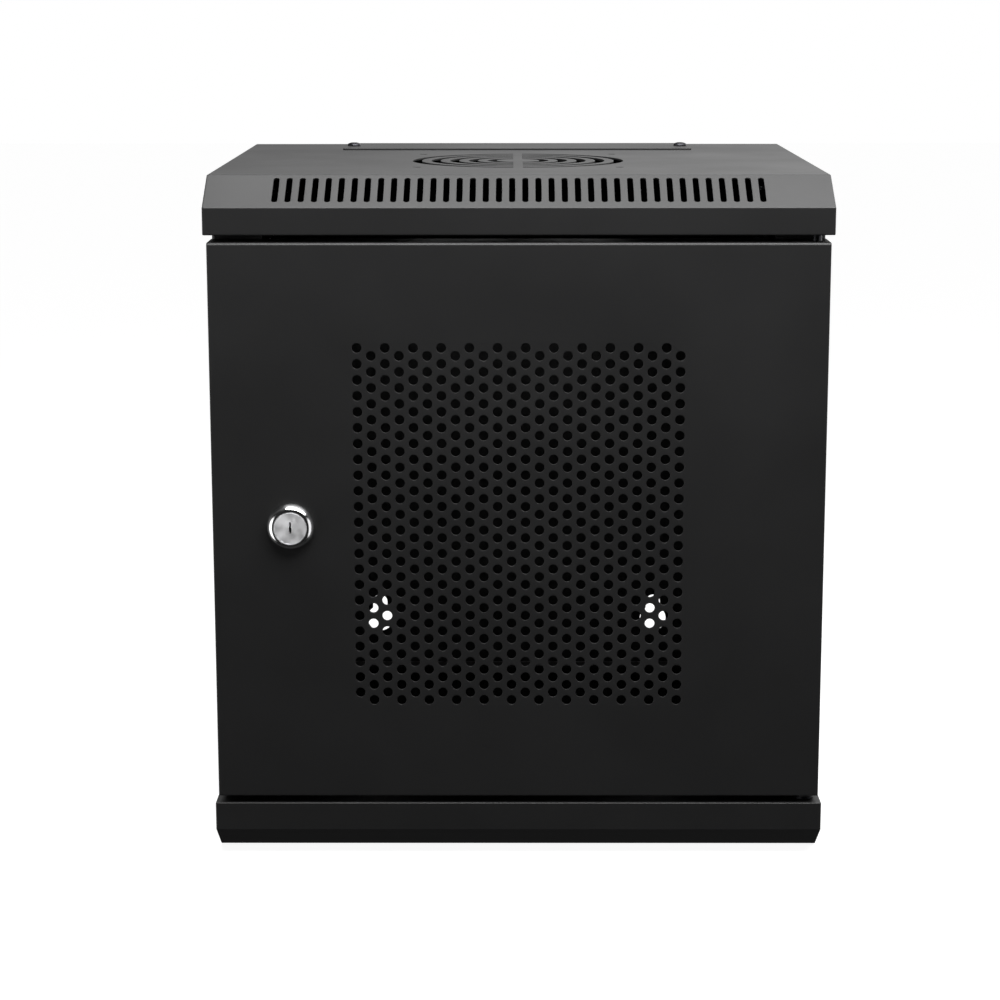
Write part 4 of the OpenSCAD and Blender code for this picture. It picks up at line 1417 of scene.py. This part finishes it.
def light_surround(stage):
    """White to look at. It lights from above and behind, and dimly from in front."""
    world = bpy.data.worlds.new("surround")
    world.use_nodes = True
    tree = world.node_tree
    seen, lighting = tree.nodes["Background"], tree.nodes.new("ShaderNodeBackground")
    seen.inputs["Color"].default_value = (1, 1, 1, 1)
    direction = tree.nodes.new("ShaderNodeTexCoord")

    def part(lean, start, end, brightness):
        along = tree.nodes.new("ShaderNodeVectorMath")
        along.operation = "DOT_PRODUCT"
        along.inputs[1].default_value = lean
        level = tree.nodes.new("ShaderNodeMapRange")
        level.interpolation_type = "SMOOTHSTEP"
        level.inputs["From Min"].default_value = start
        level.inputs["From Max"].default_value = end
        level.inputs["To Min"].default_value = 0
        level.inputs["To Max"].default_value = brightness
        wire(tree, (direction.outputs["Generated"], along.inputs[0]),
             (along.outputs["Value"], level.inputs["Value"]))
        return level.outputs["Result"]
    above = part((0, 0.75, 0.65), -0.05, 0.9, stage.above)
    behind = part((0.6, 0.78, 0.15), 0.55, 1, stage.behind)
    ahead = part((0, -1, 0.15), 0, 0.6, stage.ahead)
    left = part((-0.91, -0.36, -0.2), 0.82, 0.93, stage.sides * 1.2)
    right = part((0.93, -0.32, -0.15), 0.82, 0.93, stage.sides * 0.7)
    below = part((0, 0.2, -0.98), 0.5, 1, stage.below)
    light = above
    for other in (behind, ahead, left, right, below):
        light = math_node(tree, "ADD", light, other)
    ray = tree.nodes.new("ShaderNodeLightPath")
    mix = tree.nodes.new("ShaderNodeMixShader")
    wire(tree, (light, lighting.inputs["Strength"]),
         (ray.outputs["Is Camera Ray"], mix.inputs["Fac"]), (lighting.outputs[0], mix.inputs[1]),
         (seen.outputs[0], mix.inputs[2]), (mix.outputs[0], tree.nodes["World Output"].inputs["Surface"]))
    bpy.context.scene.world = world


def lay_floor(stage, height):
    """Wide sheet of white paper, a little lit from below so that it stays pale."""
    mesh = bpy.data.meshes.new("floor")
    mesh.from_pydata([(x, y, height) for x, y in rectangle(0, 0, 12, 12)], [], [(0, 1, 2, 3)])
    paper, _, shader = new_material("floor_paper", (0.3, 0.3, 0.3), 0.0, 0.9)
    shader.inputs["Specular IOR Level"].default_value = 0
    shader.inputs["Emission Color"].default_value = (1, 1, 1, 1)
    shader.inputs["Emission Strength"].default_value = stage.paper_glow
    mesh.materials.append(paper)
    floor = new_object("floor", mesh)
    floor.visible_diffuse = floor.visible_glossy = floor.visible_shadow = False


class CABINET_OT_stage(CabinetOperator, bpy.types.Operator):
    """Sets the pale floor, the soft studio light and the camera"""
    bl_idname = "cabinet.stage"
    bl_label = "Stage"

    def build(self, scene):
        stage = scene.cabinet_stage
        lay_floor(stage, low("bottom_cover").z)
        light_surround(stage)
        area_light("overhead", (0.25, -0.25, 0.85), (0.25, -0.25, 0), (1.1, 1), stage.overhead)
        area_light("front", (0.05, -0.42, 0.72), (0.05, -0.42, 0), (0.7, 0.35), stage.front)
        scene.view_settings.view_transform = "Standard"
        add_camera()


SETTINGS = {
    "cabinet_sheet": CabinetSheetSettings,
    "cabinet_pattern": CabinetPatternSettings,
    "cabinet_finish": CabinetFinishSettings,
    "cabinet_stage": CabinetStageSettings,
}
OPERATORS = (
    CABINET_OT_top_cover, CABINET_OT_bottom_cover, CABINET_OT_door, CABINET_OT_side_panels,
    CABINET_OT_back_panel, CABINET_OT_entry_plates, CABINET_OT_rails, CABINET_OT_screws,
    CABINET_OT_hinges, CABINET_OT_lock, CABINET_OT_bumpers, CABINET_OT_earth, CABINET_OT_stage,
)


class CABINET_PT_panel(bpy.types.Panel):
    """Lists the cabinet's pieces and sizes in the sidebar"""
    bl_idname = "CABINET_PT_panel"
    bl_label = "Wall Cabinet"
    bl_space_type = "VIEW_3D"
    bl_region_type = "UI"
    bl_category = "Cabinet"

    def draw(self, context):
        for name, group in SETTINGS.items():
            box = self.layout.box()
            for field in group.__annotations__:
                box.prop(getattr(context.scene, name), field)
        for operator in OPERATORS:
            self.layout.operator(operator.bl_idname)


def register():
    for group in SETTINGS.values():
        bpy.utils.register_class(group)
    for name, group in SETTINGS.items():
        setattr(bpy.types.Scene, name, PointerProperty(type=group))
    for item in (*OPERATORS, CABINET_PT_panel):
        bpy.utils.register_class(item)


def unregister():
    for item in (CABINET_PT_panel, *reversed(OPERATORS)):
        bpy.utils.unregister_class(item)
    for name in SETTINGS:
        delattr(bpy.types.Scene, name)
    for group in reversed(SETTINGS.values()):
        bpy.utils.unregister_class(group)


def main():
    register()
    for operator in OPERATORS:
        getattr(bpy.ops.cabinet, operator.bl_idname.split(".")[1])()


if __name__ == "__main__":
    main()
